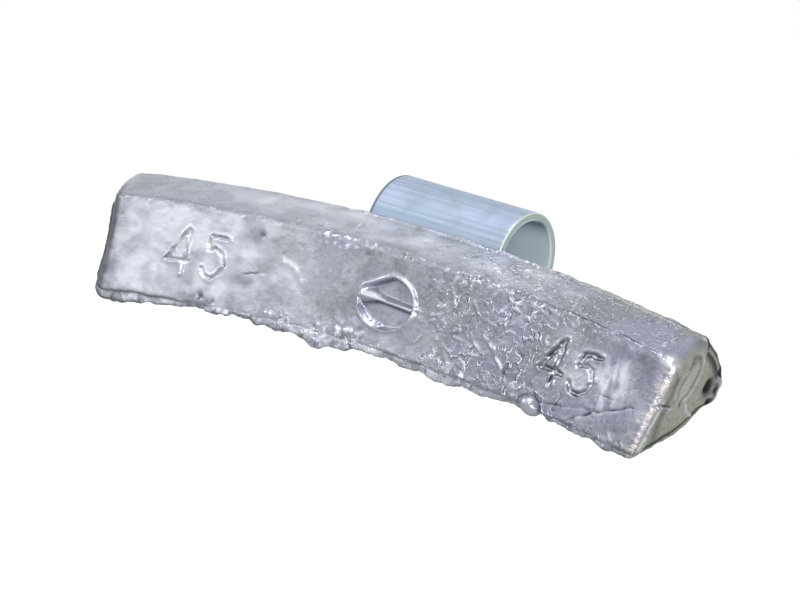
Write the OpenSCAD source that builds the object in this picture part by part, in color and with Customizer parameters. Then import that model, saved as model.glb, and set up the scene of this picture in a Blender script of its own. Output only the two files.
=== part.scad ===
// Clip-on wheel balance weight: a lead bar cast around a folded spring steel clip.
// The origin is on the axis of the clip's bend, at the middle of its width.
// X runs along the bar, the front face looks towards -Y, and +Z points away from the wheel's axis.

/* [Casting] */
// Length of the bar along the front face's top edge
body_len = 59.5; // [52:0.5:80]
// Distance from the middle of the clip to the middle of the bar
bar_shift = 0.75; // [0:0.05:1.5]
// Radius of the front face's top edge about the wheel's axis
rim_arc_r = 199; // [185:1:230]
// Height of the flat front face
front_h = 8.6; // [8:0.1:10]
// Depth of the sloping top, from the front face to the ridge
slope_run = 4.7; // [4.2:0.1:5.5]
// Height of the ridge over the front face's top edge
slope_rise = 2.6; // [2:0.1:3.2]
// Depth of the whole casting, from the front face to the nose at the back
body_depth = 9.45; // [8.8:0.05:9.6]
// Drop from the front face's top edge to the centre of the nose
nose_drop = 0.5; // [0:0.1:1]
// Radius of the nose
nose_r = 0.95; // [0.6:0.05:1.3]
// Width of the flat lip under the front face
lip_w = 1; // [0.8:0.1:1.4]
// Height by which the underside bulges past a straight line
belly = 0.85; // [0.4:0.05:1.1]
// Rounding along the end faces' edges
end_round = 0.85; // [0.5:0.05:1.1]

/* [Flash] */
// Mean height of the flash that hangs under the front face
flash_h = 0.65; // [0.4:0.05:1]
// Thickness of that flash
flash_t = 0.4; // [0.3:0.05:0.6]
// Mean height of the thin flash along the ridge
ridge_flash_h = 0.22; // [0.14:0.02:0.4]
// Thickness of the ridge's flash
ridge_flash_t = 0.25; // [0.15:0.05:0.4]
// Radius of the solidified drop at the lower edge
drop_r = 1; // [0.7:0.1:1.2]
// Distance along the arc from the middle of the clip to the drop
drop_at = 17.9; // [16:0.1:18.5]

/* [Marks in the front face] */
// Height of the figures
figure_h = 4.2; // [3.5:0.1:4.6]
// Width of a figure
figure_w = 2.7; // [2.3:0.1:2.9]
// Width of a figure's stroke
stroke_w = 0.6; // [0.4:0.05:0.7]
// Depth of the strokes
stroke_depth = 0.35; // [0.2:0.05:0.5]
// Distance along the arc from the middle of the clip to the middle of each pair of figures
figures_at = 20.1; // [18:0.1:22]
// Distance between the middles of a pair's figures
figure_pitch = 3.7; // [3.5:0.1:4.2]
// Drop from the front face's top edge to the figures' tops
figure_drop = 2.1; // [1.8:0.1:2.4]
// Radius of the screw imprint
imprint_r = 2.7; // [2.3:0.05:2.9]
// Depth of the screw imprint
imprint_depth = 0.65; // [0.4:0.05:0.9]
// Width of the bar that the screw's slot leaves across the imprint
imprint_bar_w = 0.85; // [0.6:0.05:1.1]
// Distance along the arc from the middle of the clip to the imprint's centre
imprint_at = 0.8; // [-1:0.1:2]
// Drop from the front face's top edge to the imprint's centre
imprint_drop = 4.4; // [4:0.05:4.8]

/* [End mark] */
// Length of the shallow rib on the right end face
end_rib_len = 5.6; // [4:0.1:6]
// Width of that rib
end_rib_w = 2; // [1.4:0.1:2.2]
// Height of that rib over the end face
end_rib_h = 0.25; // [0.15:0.05:0.4]
// Distance from the front face to the middle of that rib
end_rib_back = 3; // [2.6:0.1:3.4]
// Drop from the front face's top edge to the middle of that rib
end_rib_drop = 1.6; // [1.2:0.1:2.4]
// Lean of that rib, its foot towards the back
end_rib_lean = 4; // [0:1:12]

/* [Clip] */
// Width of the strip
clip_w = 14; // [12:0.1:18]
// Thickness of the strip
clip_t = 0.75; // [0.6:0.05:1]
// Outer radius of the bend
bend_r = 4.7; // [4.5:0.1:5.5]
// Depth from the ridge to the front surface of the clip's front leg
clip_set = 0.3; // [0.2:0.05:0.5]
// Height of the bend's axis over the front face's top edge
bend_rise = 2.1; // [1.8:0.1:2.5]
// Length of the leg in the lead, below the bend's axis
anchor_len = 6; // [5:0.1:6.3]
// Diameter of the anchor hole that the lead fills
anchor_hole_d = 3.2; // [2:0.1:3.6]
// Length of the free leg, below the bend's axis
free_leg_len = 7.5; // [6:0.1:10]
// Rounding of the free leg's corners
leg_corner_r = 1.4; // [0.8:0.1:2.4]

/* [Hidden] */
$fn = 64;

// What a cut runs past the surface that it starts from
over = 0.5;
// How far flash and raised marks are rooted in the casting
root = 0.4;

front_y = -(slope_run + clip_set + bend_r);
edge_z = -bend_rise;
wheel_z = edge_z - rim_arc_r;
function along_arc(length) = length / rim_arc_r * 180 / PI;
left_angle = along_arc(body_len / 2 + bar_shift);
right_angle = along_arc(body_len / 2 - bar_shift);
leg_y = front_y + slope_run + clip_set;

// The casting's section, as [distance from the front face, height over the top edge]
ridge = [slope_run, slope_rise];
nose = [body_depth - nose_r, -nose_drop];
lip = [lip_w, -front_h];
// Directions of the two straight lines that touch the nose
back_dir = nose - ridge;
back_touch = atan2(back_dir[1], back_dir[0]) + 90 + asin(nose_r / norm(back_dir));
belly_dir = lip - nose;
belly_touch = atan2(belly_dir[1], belly_dir[0]) + 90 + atan(4 * belly / norm(belly_dir));
nose_steps = 8;
belly_steps = 12;

function on_nose(a) = nose + nose_r * [cos(a), sin(a)];
function bulge(a, b, depth, share) =
    a + share * (b - a) + depth * 4 * share * (1 - share) * [b[1] - a[1], a[0] - b[0]] / norm(b - a);

nose_points = [for (i = [0:nose_steps]) on_nose(back_touch + (belly_touch - back_touch) * i / nose_steps)];
belly_points = [for (i = [1:belly_steps]) bulge(nose_points[nose_steps], lip, -belly, i / belly_steps)];
section = concat([[0, 0], ridge], nose_points, belly_points, [[0, -front_h]]);

// Places its children at a distance along the arc and a height over the top edge, on the front face
module on_front(along, up) {
    translate([0, front_y, wheel_z])
        rotate([0, along_arc(along), 0])
            translate([0, 0, rim_arc_r + up])
                children();
}

// Stands a flat shape up in the front face's plane and gives it a depth towards the back
module cut_in(depth) {
    translate([0, depth, 0])
        rotate([90, 0, 0])
            linear_extrude(height = depth + over)
                children();
}

// The plain bar: the section turned about the wheel's axis between the two end faces
module bar() {
    translate([0, front_y, wheel_z])
        rotate([-90, 0, 0])
            rotate([0, 0, -90 - left_angle])
                rotate_extrude(angle = left_angle + right_angle, $fn = 360)
                    polygon([for (p = section) [rim_arc_r + p[1], p[0]]]);
}

// What rounding takes off the end face's edge between two points of the section
module edge_round(side, from, to) {
    run = to - from;
    translate([0, front_y, wheel_z])
        rotate([0, side > 0 ? right_angle : -left_angle, 0])
            translate([0, from[0], rim_arc_r + from[1]])
                rotate([atan2(run[1], run[0]), 0, 0])
                    translate([0, -over, 0])
                        rotate([-90, 0, 0])
                            linear_extrude(height = norm(run) + 2 * over)
                                difference() {
                                    translate([side > 0 ? -end_round : -over, -over])
                                        square([end_round + over, end_round + over]);
                                    translate([-side * end_round, end_round])
                                        circle(r = end_round);
                                }
}

// How much the flash's height varies along the bar, in waves of several lengths, and where it dies out
wave_shares = [0.3, 0.26, 0.2, 0.12];
waves_per_bar = [2, 13, 31, 53];
fade_share = 0.03;
function wave(i, share, lean) = wave_shares[i] * sin(360 * waves_per_bar[i] * share + (4 - i) * lean);
function ragged(share, lean) =
    min(1, min(share, 1 - share) / fade_share)
    * (1 + wave(0, share, lean) + wave(1, share, lean) + wave(2, share, lean) + wave(3, share, lean));

// A ragged strip of flash along the arc, which grows from one height over the top edge
module flash(at_h, mean_h, from_y, thick, lean) {
    steps = 156;
    root_steps = 26;
    start = -left_angle + along_arc(end_round);
    span = left_angle + right_angle - along_arc(2 * end_round);
    function on_arc(share, h) =
        let (a = start + share * span) [(rim_arc_r + h) * sin(a), (rim_arc_r + h) * cos(a)];
    translate([0, front_y + from_y + thick, wheel_z])
        rotate([90, 0, 0])
            linear_extrude(height = thick)
                polygon(concat(
                    [for (i = [0:steps]) on_arc(i / steps, at_h + mean_h * ragged(i / steps, lean))],
                    [for (i = [root_steps:-1:0]) on_arc(i / root_steps, at_h - sign(mean_h) * root)]
                ));
}

// One straight stroke of a figure, between two places given as shares of the figure's width and height
module stroke(from_share, to_share) {
    from = [(from_share[0] - 0.5) * figure_w, (from_share[1] - 1) * figure_h];
    to = [(to_share[0] - 0.5) * figure_w, (to_share[1] - 1) * figure_h];
    run = to - from;
    translate(from)
        rotate(atan2(run[1], run[0]))
            translate([-stroke_w / 2, -stroke_w / 2])
                square([norm(run) + stroke_w, stroke_w]);
}

module figure_four() {
    foot_share = [0.74, 0];
    top_share = [0.74, 1];
    left_share = [0, 0.3];
    right_share = [1, 0.3];
    stroke(foot_share, top_share);
    stroke(top_share, left_share);
    stroke(left_share, right_share);
}

module figure_five() {
    corner_share = [0.14, 1];
    flag_share = [0.94, 1];
    joint_share = [0.1, 0.55];
    bowl_share = 0.47;
    // The bowl is open on its left between these heights, as shares of its radius
    mouth_shares = [-0.33, 0.83];
    mouth_end_share = 0.25;
    bowl_r = bowl_share * figure_w;
    bowl_out_r = bowl_r + stroke_w / 2;
    bowl_up = bowl_r - figure_h;
    stroke(corner_share, flag_share);
    stroke(corner_share, joint_share);
    difference() {
        translate([0, bowl_up])
            circle(r = bowl_out_r);
        translate([0, bowl_up])
            circle(r = bowl_r - stroke_w / 2);
        translate([-bowl_out_r - over, bowl_up + mouth_shares[0] * bowl_r])
            square([bowl_out_r + over - mouth_end_share * bowl_r, (mouth_shares[1] - mouth_shares[0]) * bowl_r]);
    }
}

// The mass in grams, cut twice into the front face
module mass_figures(side) {
    on_front(side * figures_at - figure_pitch / 2, -figure_drop)
        cut_in(stroke_depth)
            figure_four();
    on_front(side * figures_at + figure_pitch / 2, -figure_drop)
        cut_in(stroke_depth)
            figure_five();
}

// The imprint of a screw head of the mould, with a bar where the screw's slot was
module screw_imprint() {
    on_front(imprint_at, -imprint_drop)
        cut_in(imprint_depth)
            difference() {
                circle(r = imprint_r);
                translate([-imprint_r - over, -imprint_bar_w / 2])
                    square([2 * (imprint_r + over), imprint_bar_w]);
            }
}

// The shallow rib left on the right end face
module end_rib() {
    rib_r = end_rib_w / 2;
    translate([0, front_y + end_rib_back, wheel_z])
        rotate([0, right_angle, 0])
            translate([-root, 0, rim_arc_r - end_rib_drop])
                rotate([end_rib_lean, 0, 0])
                    rotate([0, 90, 0])
                        linear_extrude(height = root + end_rib_h)
                            union() {
                                translate([rib_r - end_rib_len / 2, -rib_r])
                                    square([end_rib_len - end_rib_w, end_rib_w]);
                                for (end = [-1, 1])
                                    translate([end * (end_rib_len / 2 - rib_r), 0])
                                        circle(r = rib_r);
                            }
}

// The drop that ran over the lower edge and set there
module solid_drop() {
    on_front(drop_at, -front_h)
        translate([0, drop_r / 4, 0])
            sphere(r = drop_r);
}

// The strip seen from its edge, in the plane of its fold
module clip_profile() {
    difference() {
        circle(r = bend_r);
        circle(r = bend_r - clip_t);
        translate([-bend_r - over, -bend_r - over])
            square([2 * (bend_r + over), bend_r + over]);
    }
    translate([-bend_r, -anchor_len])
        square([clip_t, anchor_len]);
    translate([bend_r - clip_t, -free_leg_len])
        square([clip_t, free_leg_len]);
}

// What is left outside a rounded corner of the free leg
module leg_corner(side) {
    translate([side * (clip_w / 2 - leg_corner_r), bend_r + over, -free_leg_len + leg_corner_r])
        rotate([90, 0, 0])
            linear_extrude(height = clip_t + 2 * over)
                difference() {
                    translate([side > 0 ? 0 : -leg_corner_r - over, -leg_corner_r - over])
                        square([leg_corner_r + over, leg_corner_r + over]);
                    circle(r = leg_corner_r);
                }
}

module clip_shape() {
    difference() {
        translate([-clip_w / 2, 0, 0])
            rotate([90, 0, 90])
                linear_extrude(height = clip_w)
                    clip_profile();
        translate([0, leg_y + clip_t + over, -anchor_len / 2])
            rotate([90, 0, 0])
                cylinder(h = clip_t + 2 * over, d = anchor_hole_d);
        leg_corner(1);
        leg_corner(-1);
    }
}

module lead_body() {
    color([0.66, 0.67, 0.7])
        difference() {
            union() {
                difference() {
                    bar();
                    for (side = [-1, 1]) {
                        edge_round(side, [0, -front_h], [0, 0]);
                        edge_round(side, [0, 0], ridge);
                        edge_round(side, ridge, on_nose(back_touch));
                    }
                }
                flash(-front_h, -flash_h, root, flash_t, 40);
                flash(slope_rise, ridge_flash_h, slope_run - ridge_flash_t / 2, ridge_flash_t, 110);
                solid_drop();
                end_rib();
            }
            mass_figures(-1);
            mass_figures(1);
            screw_imprint();
            clip_shape();
        }
}

module spring_clip() {
    color([0.72, 0.78, 0.84])
        clip_shape();
}

lead_body();
spring_clip();
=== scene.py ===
import math

import bpy
import numpy as np
from mathutils import Matrix, Quaternion, Vector


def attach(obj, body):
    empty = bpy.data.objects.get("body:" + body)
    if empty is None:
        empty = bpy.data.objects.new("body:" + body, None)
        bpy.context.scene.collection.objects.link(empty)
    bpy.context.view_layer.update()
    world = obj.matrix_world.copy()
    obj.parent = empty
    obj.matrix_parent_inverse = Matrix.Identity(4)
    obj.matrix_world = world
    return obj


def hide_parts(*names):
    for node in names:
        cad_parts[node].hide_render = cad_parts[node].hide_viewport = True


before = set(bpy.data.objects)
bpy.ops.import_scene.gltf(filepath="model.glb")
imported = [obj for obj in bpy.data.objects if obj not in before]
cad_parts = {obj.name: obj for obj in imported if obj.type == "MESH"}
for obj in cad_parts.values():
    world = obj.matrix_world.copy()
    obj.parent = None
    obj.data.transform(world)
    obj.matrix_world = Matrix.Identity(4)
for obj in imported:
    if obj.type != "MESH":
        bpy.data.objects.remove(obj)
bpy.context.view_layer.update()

mm = 0.001

# Camera: where the photograph was taken from, found by fitting the bar's edges and the clip

camera = {
    "place": (229.32 * mm, -371.29 * mm, -6.07 * mm),
    "look": (-0.5324, 0.8465, 0.0001),   # level, from 32 degrees right of straight on
    "roll": 17.08,                       # degrees, the bar runs downhill to the right
    "lens": 225.05,                      # mm on a 36 mm sensor
}


def makeCamera(c):
    data = bpy.data.cameras.new("camera")
    data.lens = c["lens"]
    data.sensor_width = 36
    data.clip_start = 10 * mm
    data.clip_end = 10
    eye = bpy.data.objects.new("camera", data)
    level = Vector(c["look"]).to_track_quat("-Z", "Y")
    turn = Quaternion((0, 0, 1), math.radians(c["roll"]))
    eye.matrix_world = Matrix.Translation(c["place"]) @ (level @ turn).to_matrix().to_4x4()
    bpy.context.scene.collection.objects.link(eye)
    bpy.context.scene.camera = eye


makeCamera(camera)
print("camera placed")


# Small tools for meshes and noise

def smooth(a, b, x):
    t = np.clip((x - a) / (b - a), 0, 1)
    return t * t * (3 - 2 * t)


def bell(x, width):
    return np.exp(-((x / width) ** 2))


def bumps(points, size, seed):
    # seeded lumps, about -1 to 1, size is the distance between lumps in mm
    rng = np.random.default_rng(seed)
    order = rng.permutation(256)
    slopes = rng.normal(size=(256, 3))
    slopes /= np.linalg.norm(slopes, axis=1)[:, None]
    scaled = points / size
    cell = np.floor(scaled).astype(int)
    inside = scaled - cell
    ease = inside ** 3 * (inside * (inside * 6 - 15) + 10)
    total = np.zeros(len(points))
    for corner in np.ndindex(2, 2, 2):
        pick = order[(cell[:, 0] + corner[0]) & 255]
        pick = order[(pick + cell[:, 1] + corner[1]) & 255]
        pick = order[(pick + cell[:, 2] + corner[2]) & 255]
        weight = np.prod(np.where(corner, ease, 1 - ease), axis=1)
        total += weight * np.sum(slopes[pick] * (inside - corner), axis=1)
    return total * 1.7


def roughBumps(points, size, seed, octaves=3):
    total = 0
    for k in range(octaves):
        total = total + bumps(points, size / 2 ** k, seed + k) / 2 ** k
    return total


def layered(points, layers):
    # a sum of lumps, each (height, size, seed)
    return sum(height * bumps(points, size, seed) for height, size, seed in layers)


def nearLine(a, b, points):
    # distance from each place (a, b) to a drawn line, and the same with a sign for the line's left side
    best = np.full(len(a), 1e9)
    sign = np.zeros(len(a))
    for (a0, b0), (a1, b1) in zip(points[:-1], points[1:]):
        run, rise = a1 - a0, b1 - b0
        share = np.clip(((a - a0) * run + (b - b0) * rise) / (run * run + rise * rise), 0, 1)
        offA = a - a0 - share * run
        offB = b - b0 - share * rise
        away = np.hypot(offA, offB)
        closer = away < best
        best = np.where(closer, away, best)
        sign = np.where(closer, np.sign(run * offB - rise * offA), sign)
    return best, best * sign


def arcPoints(centre, radius, start, stop, count):
    turn = np.radians(np.linspace(start, stop, count))
    return [(centre[0] + radius[0] * math.cos(t), centre[1] + radius[1] * math.sin(t)) for t in turn]


def makeMesh(name, points, faces, fields):
    # points in mm; the fields are numbers at the points that the materials read
    mesh = bpy.data.meshes.new(name)
    mesh.from_pydata((np.asarray(points) * mm).tolist(), [], faces)
    for field, values in fields.items():
        data = mesh.attributes.new(field, "FLOAT", "POINT")
        data.data.foreach_set("value", np.asarray(values, np.float32))
    mesh.polygons.foreach_set("use_smooth", [True] * len(mesh.polygons))
    mesh.update()
    piece = bpy.data.objects.new(name, mesh)
    bpy.context.scene.collection.objects.link(piece)
    return piece


def pointNormals(points, faces):
    quads = np.array([f if len(f) == 4 else (*f, f[2]) for f in faces])
    across = points[quads[:, 2]] - points[quads[:, 0]]
    other = points[quads[:, 3]] - points[quads[:, 1]]
    flat = np.cross(across, other)
    normals = np.zeros_like(points)
    for k in range(4):
        np.add.at(normals, quads[:, k], flat)
    return normals / np.maximum(np.linalg.norm(normals, axis=1)[:, None], 1e-12)


# Lead casting: a bar of five-sided section bent round the wheel, cast in a worn two-part mould.
# A place on it is (u, y, h) in mm: u along the arc, y back from the front face, h above the front's top edge.

casting = {
    "arcRadius": 199.0,       # of the front face's top edge, about the wheel's axis
    "leftEnd": -30.5,
    "rightEnd": 29.3,         # rough, so it stands 0.3 further out than the solid's plain end
    "cornerOut": 0.45,        # and the front's top corner that much more
    "frontY": -9.7,           # the front face in the row frame
    "topEdgeZ": -2.1,
    "frontH": 8.6,
    "slopeRun": 4.7,
    "slopeRise": 2.6,
    "noseAt": (8.5, -0.5),
    "noseR": 0.95,
    "noseFrom": 62.0,         # degrees
    "noseTo": -25.7,
    "lip": 1.0,
    "belly": 0.85,
    "backBulge": 0.28,
    "edgeR": 0.50,            # how far the worn top edge reaches into the two faces
    "leftDome": 1.40,         # the left end bulges outward, most at the ridge
    "leftR": 1.25,            # rounding of the ends' edges
    "rightR": {"front": 0.60, "flash": 0.8, "slope": 1.25, "ridge": 0.8, "back": 0.7},
    "blendRows": 6,           # how often its radii are evened out from row to row
    "swells": [               # where it stands out near the broken end: (how far, y, h, reach)
        (0.42, 6.0, -4.9, 2.8), (0.75, 8.9, -1.7, 0.95),
    ],
    "frontStep": 0.12,        # mesh spacing, about one and a half pixels of the photograph
    "slopeStep": 0.17,
    "noseStep": 0.20,
    "backStep": 0.42,
    "columnStep": 0.133,
    "endSteps": 8,
    "capRings": {-1: 18, 1: 32},
    "capCentre": (3.9, -3.0),
}

# how far the flash hangs below the bottom edge, mm at u
lowerFlash = [
    (-30, 0.55), (-29.3, 0.78), (-27.5, 0.84), (-25.4, 0.80), (-24.3, 0.58), (-22.5, 0.50), (-20.5, 0.42),
    (-19.4, 0.26), (-18.2, 0.42), (-16.8, 0.52), (-15.2, 0.30), (-14.0, 0.34), (-12.9, 0.40), (-12.2, 0.66),
    (-11.4, 0.46), (-10.2, 0.66), (-8.8, 0.74), (-7.4, 0.86), (-6.2, 0.96), (-4.9, 1.22), (-4.2, 0.98),
    (-2.9, 0.84), (-1.4, 0.62), (0.4, 0.56), (1.9, 0.44), (3.4, 0.66), (5.4, 0.80), (7.6, 0.76), (9.6, 0.78),
    (10.8, 0.52), (12.4, 0.58), (14.2, 0.60), (15.4, 0.36), (16.4, 0.22), (17.9, 0.46), (19.1, 0.24),
    (20.2, 0.36), (22.0, 0.46), (24.6, 0.42), (26.9, 0.38), (28.0, 0.36), (29.3, 0.55),
]

# the flash in section: (y, share of the hang), from its back to its front
flashShares = [
    (0.84, 0.22), (0.79, 0.6), (0.72, 0.88), (0.60, 1), (0.46, 1),
    (0.33, 0.93), (0.26, 0.74), (0.23, 0.48), (0.21, 0.22),
]

# and the thin one along the ridge: (y from the ridge, drop under it, share of its height)
ridgeShares = [(-0.12, 0.06, 0.3), (-0.08, 0.03, 0.8), (0, 0.01, 1), (0.09, 0.03, 0.85), (0.14, 0.05, 0.3)]

# what is seeded on both: sums of lumps, each (height, size, seed)
flash = {
    "row": 5,                 # of the section, where its place along the bar is read
    "lobes": [(0.15, 2.3, 101), (0.10, 1.1, 102), (0.02, 0.45, 107)],
    "least": 0.03,
    "crown": [(0.14, 2.4, 103), (0.05, 0.8, 104)],
    "wander": [(0.13, 2.3, 108), (0.06, 0.8, 109)],
    "sway": [(0.20, 1.3, 105)],
    "flushFrom": (-19.5, -16.5),   # u between which it comes flush with the front face, and leaves it again
    "flushTo": (3.5, 1.0),
}


def place(c, u, y, h):
    turn = u / c["arcRadius"]
    reach = c["arcRadius"] + h
    wheelZ = c["topEdgeZ"] - c["arcRadius"]
    return np.stack([reach * np.sin(turn), c["frontY"] + y, wheelZ + reach * np.cos(turn)], -1)


def sectionRows(c):
    # one closed loop: flash, front face, slope, ridge, back, nose and belly.
    # Each row is (y, h, share of the lower flash, share of the ridge's, face), and they come back as columns
    bottom = -c["frontH"]
    rows = [(c["lip"] - 0.05, bottom, 0, 0, "back")]
    for y, share in flashShares:
        rows.append((y, bottom, share, 0, "flash"))
    rows.append((0.20, bottom + 0.01, 0, 0, "flash"))
    rows.append((0.07, bottom + 0.03, 0, 0, "front"))
    rows.append((0.0, bottom + 0.12, 0, 0, "front"))
    count = round((c["frontH"] - 0.24 - c["edgeR"]) / c["frontStep"])
    for h in np.linspace(bottom + 0.24, -c["edgeR"], count):
        rows.append((0.0, h, 0, 0, "front"))
    slopeLen = math.hypot(c["slopeRun"], c["slopeRise"])
    run, rise = c["slopeRun"] / slopeLen, c["slopeRise"] / slopeLen
    bend = 90 - math.degrees(math.atan2(rise, run))
    radius = c["edgeR"] / math.tan(math.radians(bend / 2))
    for y, h in arcPoints((radius, -c["edgeR"]), (radius, radius), 180, 180 - bend, 8)[1:-1]:
        rows.append((y, h, 0, 0, "front" if h < 0 else "slope"))
    count = round((slopeLen - 0.35) / c["slopeStep"])
    for s in np.linspace(c["edgeR"], slopeLen - 0.18, count):
        rows.append((run * s, rise * s, 0, 0, "slope"))
    ridgeY, ridgeH = c["slopeRun"], c["slopeRise"]
    for y, down, share in ridgeShares:
        rows.append((ridgeY + y, ridgeH - down, 0, share, "ridge"))
    noseTop = arcPoints(c["noseAt"], (c["noseR"], c["noseR"]), c["noseFrom"], c["noseTo"], 9)
    start = (ridgeY + 0.2, ridgeH - 0.12)
    length = math.dist(start, noseTop[0])
    for share in np.linspace(0, 1, round(length / c["backStep"]) + 4)[:-1] ** 0.8:
        bulge = 4 * c["backBulge"] * share * (1 - share)
        y = start[0] + share * (noseTop[0][0] - start[0]) + 0.47 * bulge
        h = start[1] + share * (noseTop[0][1] - start[1]) + 0.88 * bulge
        rows.append((y, h, 0, 0, "back"))
    for y, h in noseTop:
        rows.append((y, h, 0, 0, "back"))
    first = noseTop[-1]
    last = (c["lip"], bottom)
    length = math.dist(first, last)
    out = ((first[1] - last[1]) / length, (last[0] - first[0]) / length)
    near = np.arange(c["noseStep"], 3.2, c["noseStep"]) / length
    far = np.linspace(near[-1], 1, round((1 - near[-1]) * length / c["backStep"]) + 1)[1:-1]
    for share in [*near, *far]:
        bulge = 4 * c["belly"] * share * (1 - share)
        y = first[0] + share * (last[0] - first[0]) + out[0] * bulge
        h = first[1] + share * (last[1] - first[1]) + out[1] * bulge
        rows.append((y, h, 0, 0, "back"))
    return dict(zip(("y", "h", "low", "top", "face"), (np.array(column) for column in zip(*rows))))


def leftDome(c, y):
    return c["leftDome"] * np.sin(math.pi * np.clip(y / (c["noseAt"][0] + c["noseR"]), 0, 1))


def outward(y, h):
    # outward directions of the closed section loop
    alongY = np.roll(y, -1) - np.roll(y, 1)
    alongH = np.roll(h, -1) - np.roll(h, 1)
    length = np.hypot(alongY, alongH)
    return -alongH / length, alongY / length


# what stands on the faces, read off the photograph, in mm of (u, h) on the front face

# the strokes of both figures 45
figureStrokes = {
    "left": [
        [(-21.3, -2.25), (-23.35, -5.2)], [(-21.15, -2.3), (-21.45, -6.15)], [(-23.3, -5.1), (-20.75, -5.05)],
        [(-18.75, -2.5), (-17.0, -2.55)], [(-18.75, -2.5), (-18.95, -3.75)],
        [(-18.95, -3.75), (-18.1, -3.55), (-17.35, -4.05), (-17.0, -4.9),
         (-17.3, -5.6), (-18.1, -6.2), (-18.85, -6.05), (-19.3, -5.45)],
    ],
    "right": [
        [(19.0, -2.2), (17.6, -4.95)], [(19.05, -2.3), (19.0, -6.15)], [(17.55, -5.0), (19.8, -4.95)],
        [(21.35, -2.6), (22.95, -2.35)], [(21.35, -2.6), (21.05, -3.7)],
        [(21.05, -3.7), (21.8, -3.35), (22.55, -3.75), (22.9, -4.6),
         (22.65, -5.5), (21.95, -6.0), (21.2, -5.95), (20.75, -5.3)],
    ],
}

figures = {
    "halfWidth": {"left": 0.17, "right": 0.25},
    "depth": {"left": 0.17, "right": 0.25},
    "rough": {"left": 0.06, "right": 0.13},
    "lip": 0.12,
    "shake": 0.10,            # how far the worn strokes wander
    "flankShade": 0.10,            # from a stroke's middle to where its painted shade is darkest, across and down
}

# raised folds and cracks: (height, half width, points), a negative height is a crack
frontFolds = [
    (0.10, 0.13, [(18.35, 0.1), (18.35, -0.3), (18.7, -0.75), (19.3, -0.95)]),
    (0.12, 0.13, [(12.1, 0.1), (12.25, -0.5), (12.8, -0.95)]),
    (0.09, 0.12, [(15.0, -1.15), (15.7, -0.75), (16.6, -0.95), (17.6, -1.25)]),
    (0.08, 0.11, [(15.1, -1.1), (14.9, -1.9)]),
    (0.08, 0.11, [(12.7, -3.85), (13.4, -3.4), (14.3, -3.35), (15.0, -3.65)]),
    (0.14, 0.15, [(10.9, -4.1), (11.6, -4.6), (12.4, -5.1), (13.2, -5.8),
                  (13.9, -6.5), (14.2, -7.3), (14.6, -8.0)]),
    (0.09, 0.11, [(9.9, -4.6), (10.5, -5.3), (11.1, -5.7), (11.9, -5.9)]),
    (0.08, 0.10, [(9.7, -6.0), (10.6, -6.3), (11.3, -6.2)]),
    (0.09, 0.12, [(6.1, -1.35), (6.8, -1.6), (7.2, -2.2), (7.45, -2.8)]),
    (0.07, 0.11, [(3.9, -4.25), (4.8, -4.3), (5.3, -4.45), (5.9, -4.2)]),
    (0.08, 0.10, [(6.9, -7.0), (7.15, -7.35), (7.35, -7.8)]),
    (0.09, 0.26, [(-10.6, -3.5), (-9.5, -3.8), (-8.9, -4.3), (-8.4, -4.9), (-7.9, -5.3)]),
    (0.05, 0.12, [(-6.9, -5.9), (-6.2, -6.2)]),
    (0.07, 0.11, [(9.0, -1.9), (9.6, -2.2), (10.0, -2.9)]),
    (0.08, 0.11, [(8.0, -0.2), (8.6, -0.7), (9.3, -0.8)]),
    (0.09, 0.14, [(22.8, -5.9), (23.1, -6.4), (23.7, -6.5), (24.3, -6.9)]),
    (0.06, 0.11, [(26.2, -7.7), (26.7, -8.2)]),
    (0.05, 0.12, [(-29.6, -4.1), (-29.1, -4.9), (-28.6, -5.5)]),
    (-0.07, 0.10, [(18.9, -7.9), (20.3, -7.5), (21.6, -7.25), (22.9, -6.8), (24.2, -6.6)]),
    (-0.10, 0.11, [(21.9, -8.4), (22.8, -7.6), (24.0, -6.8), (25.6, -6.0), (27.2, -5.1)]),
    (-0.05, 0.10, [(16.6, -6.6), (17.5, -6.9), (18.4, -7.7), (19.0, -8.2)]),
    (-0.05, 0.10, [(-14.8, -5.2), (-13.6, -5.0), (-12.3, -4.75)]),
    (-0.05, 0.08, [(24.0, -5.1), (25.4, -5.05), (27.6, -4.95)]),
    (0.10, 0.12, [(7.7, -7.6), (7.9, -8.0), (8.0, -8.5)]),
    (0.10, 0.12, [(9.6, -6.9), (10.2, -7.3), (10.4, -7.8)]),
    (0.12, 0.13, [(16.9, -1.9), (17.3, -2.3), (17.2, -2.8), (17.5, -3.2)]),
    (0.10, 0.12, [(13.0, -2.0), (12.7, -2.6), (13.1, -3.1)]),
]

# the same on the slope, in mm of (u, distance up from the top edge)
slopeFolds = [
    (0.12, 0.14, [(17.2, 3.0), (17.5, 1.9), (18.0, 1.1), (18.4, 0.1)]),
    (0.08, 0.12, [(12.7, 4.2), (12.6, 3.3), (13.3, 2.5), (14.4, 1.7), (15.3, 1.3), (16.3, 0.9)]),
    (0.11, 0.13, [(12.0, 1.2), (12.2, 0.5), (12.6, -0.2)]),
    (0.07, 0.13, [(10.3, 4.4), (11.0, 4.0), (11.6, 4.1)]),
    (0.08, 0.13, [(26.9, 3.6), (27.0, 2.8), (26.95, 2.0), (27.1, 1.4)]),
    (0.05, 0.12, [(-5.9, 3.4), (-5.7, 2.4), (-5.4, 1.6)]),
    (0.07, 0.16, [(-8.4, 1.6), (-8.0, 0.9)]),
    (0.07, 0.16, [(-10.8, 0.9), (-10.2, 0.4)]),
    (-0.06, 0.08, [(12.6, 0.30), (16.0, 0.36), (19.5, 0.30), (23.5, 0.34), (27.6, 0.30)]),
]

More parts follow.
